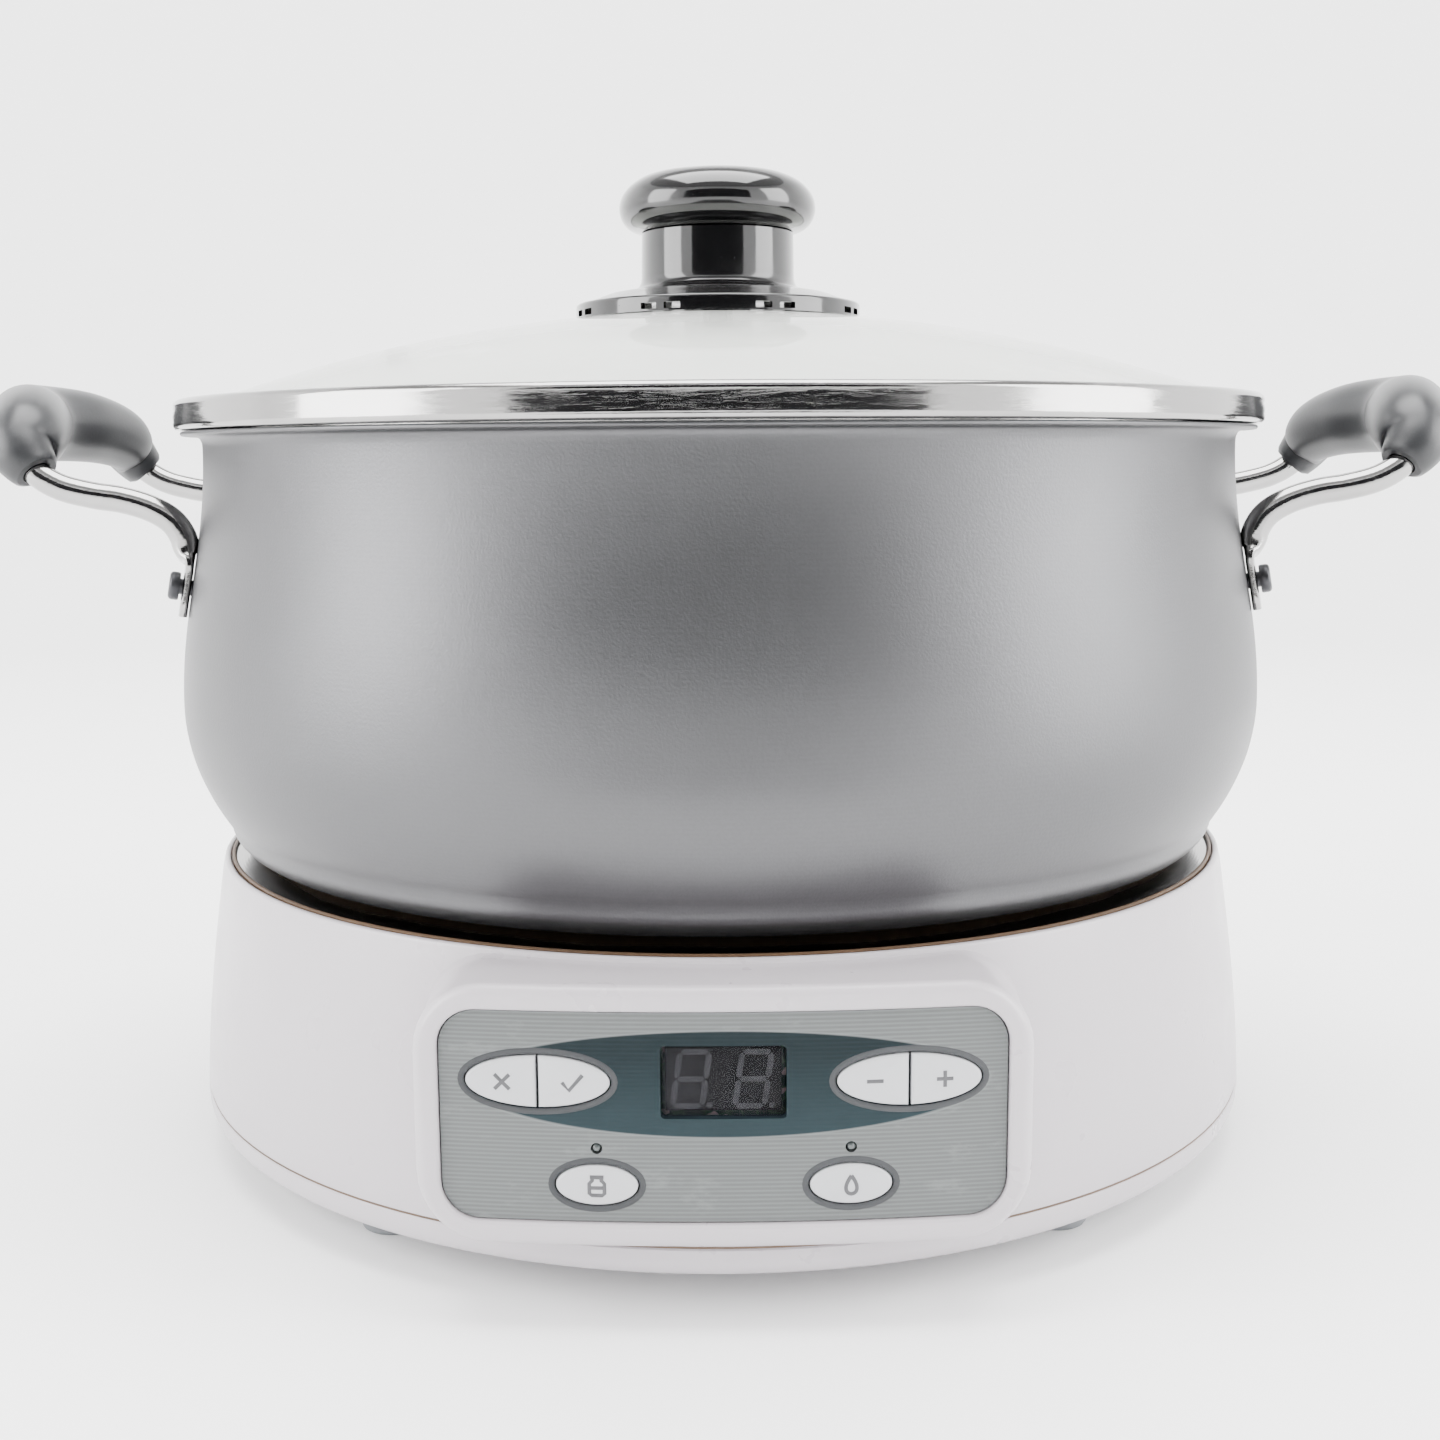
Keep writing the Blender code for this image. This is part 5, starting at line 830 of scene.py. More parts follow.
def rounded_loop(width, height, corner, per_corner=8, per_edge=16):
    """A rounded rectangle with evenly many points on its edges, so that loops of any size match."""
    points = []
    for quarter in range(4):
        sign_x = (1, -1, -1, 1)[quarter]
        sign_y = (1, 1, -1, -1)[quarter]
        centre = Vector((sign_x * (width / 2 - corner), sign_y * (height / 2 - corner)))
        for step in range(per_corner + 1):
            angle = (quarter + step / per_corner) * math.pi / 2
            points.append(centre + corner * Vector((math.cos(angle), math.sin(angle))))
        next_x = (-1, -1, 1, 1)[quarter]
        next_y = (1, -1, -1, 1)[quarter]
        next_centre = Vector((next_x * (width / 2 - corner), next_y * (height / 2 - corner)))
        angle = (quarter + 1) * math.pi / 2
        end = next_centre + corner * Vector((math.cos(angle), math.sin(angle)))
        start = points[-1]
        points += [start.lerp(end, step / per_edge) for step in range(1, per_edge)]
    return points


def inset(loop, amount):
    """A loop moved inwards by an amount."""
    moved = []
    for i, here in enumerate(loop):
        along = (loop[(i + 1) % len(loop)] - loop[i - 1]).normalized()
        moved.append(here + amount * Vector((-along.y, along.x)))
    return moved


def oval(half_width, half_height, half, steps=48):
    """An ellipse, or the half of one on a side of its upright axis."""
    if not half:
        angles = [2 * math.pi * i / steps for i in range(steps)]
        return [Vector((half_width * math.cos(a), half_height * math.sin(a))) for a in angles]
    gap = 0.00025
    limit = math.acos(gap / half_width)
    angles = spread(-limit, limit, 30)
    curve = [Vector((half_width * math.cos(a), half_height * math.sin(a))) for a in angles]
    straight = [curve[-1].lerp(curve[0], i / 10) for i in range(1, 10)]
    loop = curve + straight
    return loop if half > 0 else [Vector((-p.x, p.y)) for p in loop[::-1]]


# ---- Base


def housing_outline():
    wall = sizes().housing_wall
    ledge = RIM_Z - 0.0016
    inner = sizes().rim_radius - wall
    outline = arc((sizes().rim_radius - wall / 2, RIM_Z - wall * 0.6), wall / 2, wall * 0.6, 90, 0, 6)
    outline += [(housing_radius(z), z) for z in spread(RIM_Z - 0.003, SEAM_Z + 0.0009, 24)]
    outline += [(housing_radius(SEAM_Z) - 0.0002, SEAM_Z + 0.0004), (SKIRT_R - 0.0008, SEAM_Z + GAP)]
    outline += [(housing_radius(z) - wall, z) for z in spread(SEAM_Z + GAP, ledge - wall, 10)]
    outline += [(inner - 0.0034, ledge - wall), (inner - 0.0034, ledge), (inner, ledge)]
    outline += arc((inner + wall / 2, RIM_Z - wall * 0.6), wall / 2, wall * 0.6, 180, 100, 5)
    return outline


def make_housing():
    housing = turned("housing_shell", housing_outline(), white_plastic())
    margin = 0.0062
    opening = block(
        "opening",
        (PLATE_LOW.x + margin, -0.2, PLATE_LOW.z + margin),
        (PLATE_HIGH.x - margin, -0.1, PLATE_HIGH.z - margin),
        white_plastic(),
    )
    gland_z = (GLAND_LOW.z + GLAND_HIGH.z) / 2
    turn = Matrix.Translation((0, 0.16, gland_z)) @ Matrix.Rotation(math.pi / 2, 4, "X")
    hole = drill(0.0063, 0, 0.04, white_plastic(), 32, turn)
    combine(housing, [opening, hole], "DIFFERENCE")
    place(housing, "base", "white_plastic", "housing")
    for number, screw in enumerate(screw_centres(), 1):
        low = COVER_LOW.z + 0.0026
        outline = [(0.0050, low + 0.0195), (0.0050, low), (0.0017, low), (0.0017, low + 0.0195)]
        spot = Matrix.Translation((screw.x, screw.y, 0))
        boss = turned(f"boss_{number}", outline, white_plastic(), 24, spot)
        angle = math.atan2(screw.y, screw.x)
        reach = SKIRT_R - 0.0016
        turn = Matrix.Rotation(angle, 4, "Z")
        near = screw.xy.length + 0.0048
        rib = block(
            f"boss_rib_{number}",
            (near, -0.0015, SEAM_Z + 0.0006),
            (reach, 0.0015, low + 0.0185),
            white_plastic(),
            0.0003,
            turn,
        )
        place(boss, "base", "white_plastic")
        place(rib, "base", "white_plastic")


def screw_centres():
    centres = []
    for number in range(1, 5):
        low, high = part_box(f"cover_screw_{number}")
        centres.append((low + high) / 2)
    return centres


def foot_centres():
    names = ("foot_front_left", "foot_front_right", "foot_rear_left", "foot_rear_right")
    return {name: (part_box(name)[0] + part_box(name)[1]) / 2 for name in names}


def drill(radius, low, high, material, facets, spot):
    """A round cutter between two heights."""
    outline = [(0, high), (radius, high), (radius, low), (0, low)]
    return turned("hole", outline, material, facets, spot)


def make_base_cover():
    low = COVER_LOW.z
    wall = 0.0023
    floor = low + wall
    outer = SKIRT_R
    inner = outer - wall
    outline = [(outer - 0.0005, SEAM_Z), (outer, SEAM_Z - 0.0005)]
    outline += arc((outer - 0.0040, low + 0.0044), 0.0040, 0.0044, 0, -90, 8)
    outline += [(outer - 0.0120, low), (outer - 0.0124, low + 0.0005), (outer - 0.0140, low + 0.0005)]
    outline += [(outer - 0.0144, low), (0.0, low), (0.0, floor)]
    outline += [(inner - 0.0030, floor), (inner, floor + 0.0022), (inner, SEAM_Z)]
    cover = turned("base_tray", outline + [outline[0]], white_plastic())
    cutters = []
    hole_r = 0.0017
    reach = 0.03
    for screw in screw_centres():
        spot = Matrix.Translation((screw.x, screw.y, 0))
        cutters.append(drill(hole_r, 0, reach, white_plastic(), 16, spot))
    slot_half = 0.002
    slot_front, slot_back = -0.063, -0.027
    for x in spread(-0.020, 0.020, 3):
        near = (x - slot_half, slot_front, 0)
        far = (x + slot_half, slot_back, reach)
        cutters.append(block("slot", near, far, white_plastic(), 0.0009))
    combine(cover, cutters, "DIFFERENCE")
    place(cover, "base", "white_plastic", "base_cover")
    seal = [(outer - 0.0002, SEAM_Z + 0.00034), (outer - 0.0002, SEAM_Z - 0.0001)]
    seal += [(outer - 0.0016, SEAM_Z - 0.0001), (outer - 0.0016, SEAM_Z + 0.00034)]
    place(turned("seam_seal", seal, seam_seal()), "base", "foot_rubber")


def make_feet():
    for name, centre in foot_centres().items():
        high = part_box(name)[1]
        radius = high.x - centre.x
        collar = COVER_LOW.z - 0.0003
        outline = [(0.0, high.z), (0.0018, high.z), (0.0040, high.z - 0.0022), (0.0028, high.z - 0.0022)]
        outline += [(0.0028, collar)]
        outline += arc((radius - 0.0006, collar - 0.0006), 0.0006, 0.0006, 90, 0, 4)
        outline += [(radius - 0.0004, collar - 0.0035), (radius - 0.0008, 0.0010)]
        outline += arc((radius - 0.0020, 0.0012), 0.0012, 0.0012, 0, -90, 4)
        outline += [(0.0050, 0.0), (0.0044, 0.0006), (0.0, 0.0006)]
        spot = Matrix.Translation((centre.x, centre.y, 0))
        pad = turned(f"pad_{name[5:]}", outline, foot_rubber(), sizes().small_facets, spot)
        place(pad, "base", "foot_rubber", name)


def make_cover_screws():
    slot_length = 0.0018
    slot_half = 0.00035
    slot_depth = 0.0011
    for number, centre in enumerate(screw_centres(), 1):
        node = f"cover_screw_{number}"
        low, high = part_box(node)
        head = high.x - centre.x
        seat = COVER_LOW.z - GAP
        outline = [(0.0, high.z), (0.0006, high.z), (0.0014, high.z - 0.0022), (0.0014, seat), (head, seat)]
        outline += arc((head - 0.0013, seat - 0.0006), 0.0013, seat - 0.0006 - low.z, 0, -90, 6)
        outline += [(0.0, low.z)]
        spot = Matrix.Translation((centre.x, centre.y, 0))
        screw = turned(f"screw_{number}", outline, zinc_plate(), 24, spot)
        slots = []
        for turn in (0, math.pi / 2):
            matrix = spot @ Matrix.Rotation(turn + 0.4 * number, 4, "Z")
            near = (-slot_length, -slot_half, low.z - 0.001)
            far = (slot_length, slot_half, low.z + slot_depth)
            slots.append(block("slot", near, far, zinc_plate(), 0, matrix))
        combine(screw, slots, "DIFFERENCE")
        place(screw, "base", "zinc_screw", node)


def make_gland():
    """The cord's bush, with rings round its outside."""
    centre_z = (GLAND_LOW.z + GLAND_HIGH.z) / 2
    wall = housing_radius(centre_z)
    seat = wall + 0.0012
    end = GLAND_HIGH.y
    radius = (GLAND_HIGH.x - GLAND_LOW.x) / 2
    ring_pitch = 0.0009
    ring_growth = 0.0003
    outline = [(0.0047, end), (0.0062, end), (0.0066, end - 0.0004)]
    for i in range(3):
        z = end - 0.0012 - ring_pitch * i
        grown = ring_growth * i
        outline += [(0.0068 + grown, z), (0.0064 + grown, z - 0.0003), (0.0071 + grown, z - 0.0006)]
    outline += arc((radius - 0.0008, seat + 0.0012), 0.0008, 0.0010, 90, 0, 4)
    inside = GLAND_LOW.y
    neck, barb, bore = 0.0060, 0.0076, 0.0040
    outline += [(radius, seat), (neck, seat), (neck, inside + 0.002), (barb, inside + 0.002)]
    outline += [(barb, inside), (bore, inside), (bore, end - 0.0006)]
    back = Matrix.Translation((0, 0, centre_z)) @ Matrix.Rotation(-math.pi / 2, 4, "X")
    gland = turned("gland_bush", outline, silicone(), sizes().small_facets, back)
    place(gland, "base", "silicone", "cord_gland")


# ---- Key panel


def bezel_ring(depth_in, corner_start, surface):
    """A loop of the bezel, an inset from its outside, with its Y from the given surface."""
    width = BEZEL_HIGH.x - BEZEL_LOW.x
    height = BEZEL_HIGH.z - BEZEL_LOW.z
    loop = rounded_loop(width - 2 * depth_in, height - 2 * depth_in, corner_start)
    return [Vector((p.x, surface(p), PANEL_Z + p.y)) for p in loop]


def make_bezel():
    """A soft frame that grows out of the housing and stands proud of the film."""
    edge = sizes().bezel_edge
    rim = (BEZEL_HIGH.x - PLATE_HIGH.x) - GAP
    corner = 0.0150
    inner_corner = 0.0081
    proud = 0.0014
    front = PANEL_FRONT + proud + BEZEL_LOW.y

    def corner_at(depth):
        return corner + (inner_corner - corner) * max(depth, 0.0) / rim

    def face(drop):
        return lambda p: bowed_front(p.x, drop - proud + front)

    def wall(lift):
        return lambda p: -math.sqrt(max(housing_radius(PANEL_Z + p.y), 0.1) ** 2 - p.x**2) - lift

    rings = [bezel_ring(-0.0011, corner + 0.0011, wall(-0.0006))]
    rings.append(bezel_ring(-0.0006, corner + 0.0006, wall(0.0003)))
    rings.append(bezel_ring(-0.0001, corner + 0.0001, wall(0.0014)))
    for angle in spread(0, math.pi / 2, 7):
        depth = edge * (1 - math.cos(angle))
        rings.append(bezel_ring(depth, corner_at(depth), face(edge * (1 - math.sin(angle)))))
    for angle in spread(0, math.pi / 2, 5):
        depth = rim - 0.0009 + 0.0009 * math.sin(angle)
        rings.append(bezel_ring(depth, corner_at(depth), face(0.0009 * (1 - math.cos(angle)))))
    rings.append(bezel_ring(rim, corner_at(rim), face(0.0040)))
    rings.append(bezel_ring(rim, corner_at(rim), wall(-0.0012)))
    bezel = from_rings("bezel_frame", rings, white_plastic(), closed=True)
    place(bezel, "base", "white_plastic", "bezel")


def panel_holes():
    """The plate's openings as loops about their own centres."""
    holes = []
    for x in (-PAIR_X, PAIR_X):
        holes.append((oval(PAIR_SIZE[0] + GAP, PAIR_SIZE[1] + GAP, 0), x, UPPER_Z))
    for x in (-SINGLE_X, SINGLE_X):
        holes.append((oval(SINGLE_SIZE[0] + GAP, SINGLE_SIZE[1] + GAP, 0, 36), x, LOWER_Z))
        holes.append((oval(0.0012, 0.0012, 0, 20), x, LAMP_Z))
    width = LENS_HIGH.x - LENS_LOW.x + 2 * GAP
    height = LENS_HIGH.z - LENS_LOW.z + 2 * GAP
    holes.append((rounded_loop(width, height, 0.0009, 3, 2), 0.0, UPPER_Z))
    return holes


def prism(name, loop, x, z, near, far, material):
    """A loop in the panel's plane, drawn from one Y to another."""
    rings = [[Vector((x + p.x, y, z + p.y)) for p in loop] for y in (near, far)]
    return from_rings(name, rings, material)


def bow_drum(name, radius, material):
    centre = Matrix.Translation((0, -PANEL_FRONT + sizes().bow_radius, 0))
    outline = [(0, 0.12), (radius, 0.12), (radius, -0.02), (0, -0.02)]
    return turned(name, outline, material, 720, centre)


def make_panel_plate():
    width = PLATE_HIGH.x - PLATE_LOW.x
    height = PLATE_HIGH.z - PLATE_LOW.z
    film = panel_film()
    loop = rounded_loop(width, height, 0.0078, 8, 1)
    plate = prism("key_plate", loop, 0, PANEL_Z, -0.16, -0.135, film)
    bow = sizes().bow_radius
    combine(plate, [bow_drum("front", bow, film)], "INTERSECT")
    cutters = [bow_drum("back", bow - 0.0024, film)]
    for number, (hole, x, z) in enumerate(panel_holes()):
        cutters.append(prism(f"hole_{number}", hole, x, z, -0.17, -0.12, film))
    combine(plate, cutters, "DIFFERENCE")
    place(plate, "base", "panel_film", "panel_plate")
    for number, (hole, x, z) in enumerate(panel_holes()):
        if hole[0].x < 0.002 or number == len(panel_holes()) - 1:
            continue
        make_key_surround(number, hole, x, z)


def make_key_surround(number, hole, x, z):
    """A fine raised lip round a key's opening."""
    lip = 0.00065
    rings = []
    for angle in spread(0, 2 * math.pi, 9)[:-1]:
        loop = inset(hole, -lip * (1 + math.cos(angle)) + 0.00002)
        rise = 0.00022 * math.sin(angle)
        rings.append([Vector((x + p.x, bowed_front(x + p.x) - rise, z + p.y)) for p in loop])
    surround = from_rings(f"key_surround_{number}", rings, key_outline(), closed=True)
    place(surround, "base", "panel_film")


def make_key(name, half, x, z):
    """A soft key: a rounded edge round a slightly crowned face."""
    size = PAIR_SIZE if half else SINGLE_SIZE
    loop = oval(size[0] - 0.00005, size[1] - 0.00005, half)
    edge = sizes().key_edge
    proud = 0.0006
    middle = sum(loop, Vector((0, 0))) / len(loop)

    def ring(shape, drop):
        return [Vector((x + p.x, bowed_front(x + p.x, drop - proud), z + p.y)) for p in shape]

    rings = [ring(loop, 0.0042)]
    for angle in spread(0, math.pi / 2, 6):
        rings.append(ring(inset(loop, edge * (1 - math.cos(angle))), edge * (1 - math.sin(angle))))
    top = inset(loop, edge)
    for share in (0.8, 0.55, 0.3, 0.08):
        shape = [middle + (p - middle) * share for p in top]
        rings.append(ring(shape, -sizes().key_crown * (1 - share**2)))
    key = from_rings(f"key_{name}", rings, key_rubber())
    place(key, name, "button_rubber", f"button_{name}")
    return middle


def stroke(name, routes, x, z, rise, body):
    """Rounded lines laid flat on a key's face."""
    width = 0.00042
    thickness = 0.00016
    facets = 10
    lean = math.asin(x / sizes().bow_radius)
    y = bowed_front(x, -0.0006 - rise)
    matrix = Matrix.Translation((x, y, z)) @ Matrix.Rotation(lean, 4, "Z")
    for number, route in enumerate(routes):
        path = [Vector((px, 0.0, pz)) for px, pz in route]
        rings = []
        for spot, side, normal in carried_frames(path, Vector((0, 1, 0))):
            ring = []
            for i in range(facets):
                angle = 2 * math.pi * i / facets
                rise = side * (thickness * math.cos(angle))
                reach = normal * (width * math.sin(angle))
                ring.append(matrix @ (spot + rise + reach))
            rings.append(ring)
        place(from_rings(f"sign_{name}_{number + 1}", rings, legend_ink()), body, "button_rubber")


def key_signs():
    """Plain signs in place of words, as lines in metres about each key's middle."""
    s = 0.00155
    jar = [(-0.6 * s, 1.2 * s), (-0.6 * s, 0.8 * s), (-s, 0.4 * s), (-s, -s), (-0.7 * s, -1.25 * s)]
    jar = jar + [(-px, pz) for px, pz in jar[::-1]]
    turns = spread(0, 2 * math.pi, 25)
    drop = [(s * 0.95 * math.sin(a) * math.sin(a / 2), s * 1.25 * math.cos(a)) for a in turns]
    return {
        "cancel": [[(-s, -s), (s, s)], [(-s, s), (s, -s)]],
        "enter": [[(-1.3 * s, 0.1 * s), (-0.4 * s, -s), (1.4 * s, 1.1 * s)]],
        "minus": [[(-1.1 * s, 0), (1.1 * s, 0)]],
        "plus": [[(-1.1 * s, 0), (1.1 * s, 0)], [(0, -1.1 * s), (0, 1.1 * s)]],
        "jam": [jar, [(-0.9 * s, 1.25 * s), (0.9 * s, 1.25 * s)], [(-s, -0.2 * s), (s, -0.2 * s)]],
        "jelly": [drop],
    }


def make_keys():
    signs = key_signs()
    for name, half, x, z in KEYS:
        middle = make_key(name, half, x, z)
        spot_x = x + (middle.x if half else 0.0)
        stroke(name, signs[name], spot_x, z, sizes().key_crown * 0.82, name)


def segment_loop(start, end, width):
    """A bar with pointed ends between two points."""
    along = (end - start).normalized()
    side = Vector((-along.y, along.x)) * width / 2
    tip = along * width / 2
    return [start, start + tip + side, end - tip + side, end, end - tip - side, start + tip - side]


def digit_segments(centre):
    """The seven bars of a digit, leaning to the right."""
    w = sizes().digit_width / 2 - 0.0006
    h = sizes().digit_height / 2 - 0.0006
    lean = math.tan(math.radians(8))
    corners = [Vector((sx * w, sz * h)) for sz in (1, 0, -1) for sx in (-1, 1)]
    top_l, top_r, mid_l, mid_r, low_l, low_r = corners
    pairs = [(top_l, top_r), (mid_l, mid_r), (low_l, low_r), (top_l, mid_l), (mid_l, low_l)]
    pairs += [(top_r, mid_r), (mid_r, low_r)]
    bars = []
    for start, end in pairs:
        along = (end - start).normalized() * 0.00022
        loop = segment_loop(start + along, end - along, 0.00105)
        bars.append([Vector((centre + p.x + p.y * lean, p.y)) for p in loop])
    return bars


def make_display():
    """Black module, two leaning digits with their points, and a smoked cover."""
    module = block("display_body", MODULE_LOW, MODULE_HIGH, smoked_black(), 0.0003)
    place(module, "base", "smoked_window", "display_module")
    face = MODULE_LOW.y
    number = 0
    for centre in (-0.0066, 0.0061):
        loops = digit_segments(centre)
        point = centre + sizes().digit_width / 2 + 0.0002
        dot = oval(0.00065, 0.00065, 0, 16)
        loops.append([Vector((point + p.x, p.y - sizes().digit_height / 2 + 0.0007)) for p in dot])
        for loop in loops:
            number += 1
            rings = []
            for depth, shrink in ((0.0002, 0.0), (-0.0001, 0.0), (-0.00016, 0.00008)):
                shape = inset(loop, shrink) if shrink else loop
                rings.append([Vector((p.x, face + depth, UPPER_Z + p.y)) for p in shape])
            bar = from_rings(f"segment_{number}", rings, display_segment())
            place(bar, "base", "smoked_window")
    width = LENS_HIGH.x - LENS_LOW.x
    height = LENS_HIGH.z - LENS_LOW.z
    rings = []
    for drop, shrink in ((0.0018, 0.0), (0.0008, 0.0), (0.0006, 0.0002)):
        loop = rounded_loop(width - 2 * shrink, height - 2 * shrink, 0.0008, 4, 8)
        rings.append([Vector((p.x, bowed_front(p.x, drop), UPPER_Z + p.y)) for p in loop])
    place(from_rings("window", rings, display_window()), "base", "smoked_window", "display_lens")


def make_lamps():
    for name, sign in (("lamp_left", -1), ("lamp_right", 1)):
        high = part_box(name)[1]
        x = sign * SINGLE_X
        front = -bowed_front(x)
        outline = [(0.0, front)]
        outline += arc((0.0, front - 0.0009), 0.0010, 0.0009, 80, 0, 6)
        outline += [(0.0010, front - 0.0050), (0.0015, front - 0.0050), (0.0015, -high.y), (0.0, -high.y)]
        matrix = Matrix.Translation((x, 0, LAMP_Z)) @ Matrix.Rotation(math.pi / 2, 4, "X")
        lamp = turned(f"{name}_lens", outline, lamp_lens(), 24, matrix)
        place(lamp, "base", "lamp_lens", name)


# ---- Heater


def make_heater():
    top = BOWL_HIGH.z
    flange = BOWL_HIGH.x
    floor = RIM_Z - 0.0072
    sheet = 0.0009
    lip = flange - 0.0160
    outline = arc((flange - sheet / 2, top - sheet / 2), sheet / 2, sheet / 2, 90, -90, 6)
    outline += arc((lip - 0.0006, top - sheet - 0.0010), 0.0006, 0.0010, 60, 0, 3)
    outline += arc((lip - 0.0030, floor + 0.0010), 0.0020, 0.0019, 0, -90, 5)
    outline += [(0.0120, floor - sheet), (0.0120, floor)]
    outline += arc((lip - 0.0034, floor + 0.0014), 0.0016, 0.0014, -90, 0, 5)
    outline += arc((lip - 0.0006, top - 0.0012), 0.0012, 0.0012, 180, 90, 5)
    bowl = turned("heater_dish", outline, bowl_steel())
    sensor_low, sensor_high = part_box("sensor_button")
    sensor = (sensor_low + sensor_high) / 2
    spot = Matrix.Translation((sensor.x, sensor.y, 0))
    combine(bowl, [drill(0.0034, 0.05, 0.09, bowl_steel(), 24, spot)], "DIFFERENCE")
    place(bowl, "base", "bright_steel", "heater_bowl")
    seal = [(flange + 0.0002, top - 0.0006), (flange + 0.0002, top + 0.0004)]
    seal += arc((flange - 0.0004, top + 0.0003), 0.0005, 0.0004, 60, 170, 4)
    seal += [(flange - 0.0009, top + 0.0001), (flange - 0.0009, top + 0.00001), (flange, top - 0.0006)]
    place(turned("rim_seal", seal[::-1], seam_seal()), "base", "foot_rubber")
    radius = HOT_HIGH.x
    hot = HOT_HIGH.z
    edge = 0.0014
    bore = 0.0200
    groove_z = hot - 0.0004
    outline = arc((radius - edge, hot - edge), edge, edge, 90, 0, 5)
    outline += [(radius, HOT_LOW.z), (bore, HOT_LOW.z), (bore, hot - 0.0008), (bore + 0.0008, hot)]
    for groove in spread(0.0300, 0.0900, 11):
        outline += [(groove, hot), (groove + 0.0004, groove_z)]
        outline += [(groove + 0.0012, groove_z), (groove + 0.0016, hot)]
    plate = turned("heating_plate", outline, cast_plate())
    combine(plate, [drill(0.0089, 0.05, 0.1, cast_plate(), 48, spot)], "DIFFERENCE")
    place(plate, "base", "cast_plate", "hot_plate")
    make_sensor(sensor_low, sensor_high, spot)
    dress("heating_element", sheath_steel())
    dress("thermal_fuse", ceramic())
    dress("sensor_spring", polished_steel())


def make_sensor(low, high, spot):
    radius = (high.x - low.x) / 2
    outline = [(0.0, high.z - 0.0003), (0.0036, high.z - 0.0003), (0.0040, high.z)]
    outline += arc((radius - 0.0008, high.z - 0.0008), 0.0008, 0.0008, 90, 0, 4)
    outline += [(radius, high.z - 0.0030), (0.0030, high.z - 0.0030), (0.0030, low.z + 0.0006)]
    outline += [(0.0024, low.z), (0.0, low.z)]
    sensor = turned("pot_sensor", outline, polished_steel(), sizes().small_facets, spot)
    place(sensor, "sensor", "bright_steel", "sensor_button")


def dress_inside():
    """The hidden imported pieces, each with its own finish."""
    for node in ("gearbox_case", "gearbox_cover", "output_drive", "idler_gear"):
        dress(node, white_acetal())
    dress("shaft_bush", sintered_bronze())
    dress("motor", motor_can())
    dress("motor_pinion", polished_steel())
    dress("power_board", circuit_board())
    dress("control_board", circuit_board())
    dress("post_nut", zinc_plate())
    dress("post_gasket", silicone())
    dress("stirring_shaft", polished_steel())
    dress("knob_washer", silicone())
    dress("knob_screw", zinc_plate())


# ---- Pot


def pot_outline():
    """Rolled flange, belly, turned-under corner and flat floor, one wall thick."""
    heights = spread(POT_HEIGHT - NECK_DROP, CORNER_HEIGHT, 44)
    lip_z = MOUTH_Z - 0.00055
    outline = arc((FLANGE_R - 0.00055, lip_z), 0.00055, 0.00055, 90, -90, 6)
    outline += [(NECK_R + 0.0012, MOUTH_Z - 0.0013), (NECK_R + 0.0005, MOUTH_Z - 0.0018)]
    outline += [(NECK_R + 0.0001, MOUTH_Z - 0.0028)]
    outline += [(pot_radius(h), POT_Z + h) for h in heights]
    corner_z = POT_Z + CORNER_HEIGHT
    outline += arc((FOOT_R, corner_z), CORNER_WIDTH, CORNER_HEIGHT, 0, -90, 10)[1:]
    outline += [(0.1180, POT_Z), (0.1176, POT_Z + 0.0004), (0.1160, POT_Z + 0.0004), (0.1156, POT_Z)]
    outline += [(0.0073, POT_Z), (0.0073, POT_Z + POT_FLOOR)]
    depth = CORNER_HEIGHT - POT_FLOOR
    outline += arc((FOOT_R, corner_z), CORNER_WIDTH - POT_WALL, depth, -90, 0, 8)
    outline += [(pot_radius(h) - POT_WALL, POT_Z + h) for h in heights[::-1][1:]]
    outline += arc((NECK_R + 0.0002, MOUTH_Z - 0.0014), 0.0012, 0.0014, 180, 90, 5)
    return outline


def make_pot_shell():
    place(turned("pot_body", pot_outline(), satin_pot()), "pot", "satin_pot", "pot_shell")


def wall_frame(side, leg, height):
    """A point on the pot's wall behind a handle leg, with its outward and level directions."""
    radius = pot_radius(height)
    across = leg * LEG_OFFSET
    out = side * math.sqrt(radius**2 - across**2)
    slope = (pot_radius(height + 0.004) - pot_radius(height - 0.004)) / 0.008
    normal = Vector((out / radius, across / radius, -slope)).normalized()
    level = Vector((0, 0, 1)).cross(normal).normalized()
    return Vector((out, across, POT_Z + height)), normal, level


def make_rivets():
    names = {(-1, -1): "left_front", (-1, 1): "left_rear", (1, -1): "right_front", (1, 1): "right_rear"}
    for (side, leg), name in names.items():
        spot, normal, _ = wall_frame(side, leg, RIVET_HEIGHT)
        turn = Vector((0, 0, 1)).rotation_difference(normal).to_matrix().to_4x4()
        base = 0.0031
        back = -POT_WALL - 0.0008
        outline = [(0.0, base + 0.0026), (0.0018, base + 0.0026)]
        outline += arc((0.0026, base + 0.0016), 0.0010, 0.0010, 90, 0, 4)
        outline += [(0.0036, base + 0.0004), (0.0034, base), (0.0020, base), (0.0020, back), (0.0036, back)]
        outline += arc((0.0024, back - 0.0004), 0.0011, 0.0006, 0, -90, 4) + [(0.0, back - 0.0010)]
        matrix = Matrix.Translation(spot) @ turn
        rivet = turned(f"rivet_head_{name}", outline, dark_rivet(), 28, matrix)
        place(rivet, "pot", "zinc_screw", f"rivet_{name}")


def strap_top_x():
    return math.sqrt(pot_radius(STRAP_TOP) ** 2 - LEG_OFFSET**2) + GAP + STRAP_THICKNESS / 2


def handle_points(bends, side, leg):
    x = strap_top_x()
    z = POT_Z + STRAP_TOP
    return [Vector((side * (x + out), leg * (LEG_OFFSET - inward), z + up)) for out, inward, up in bends]


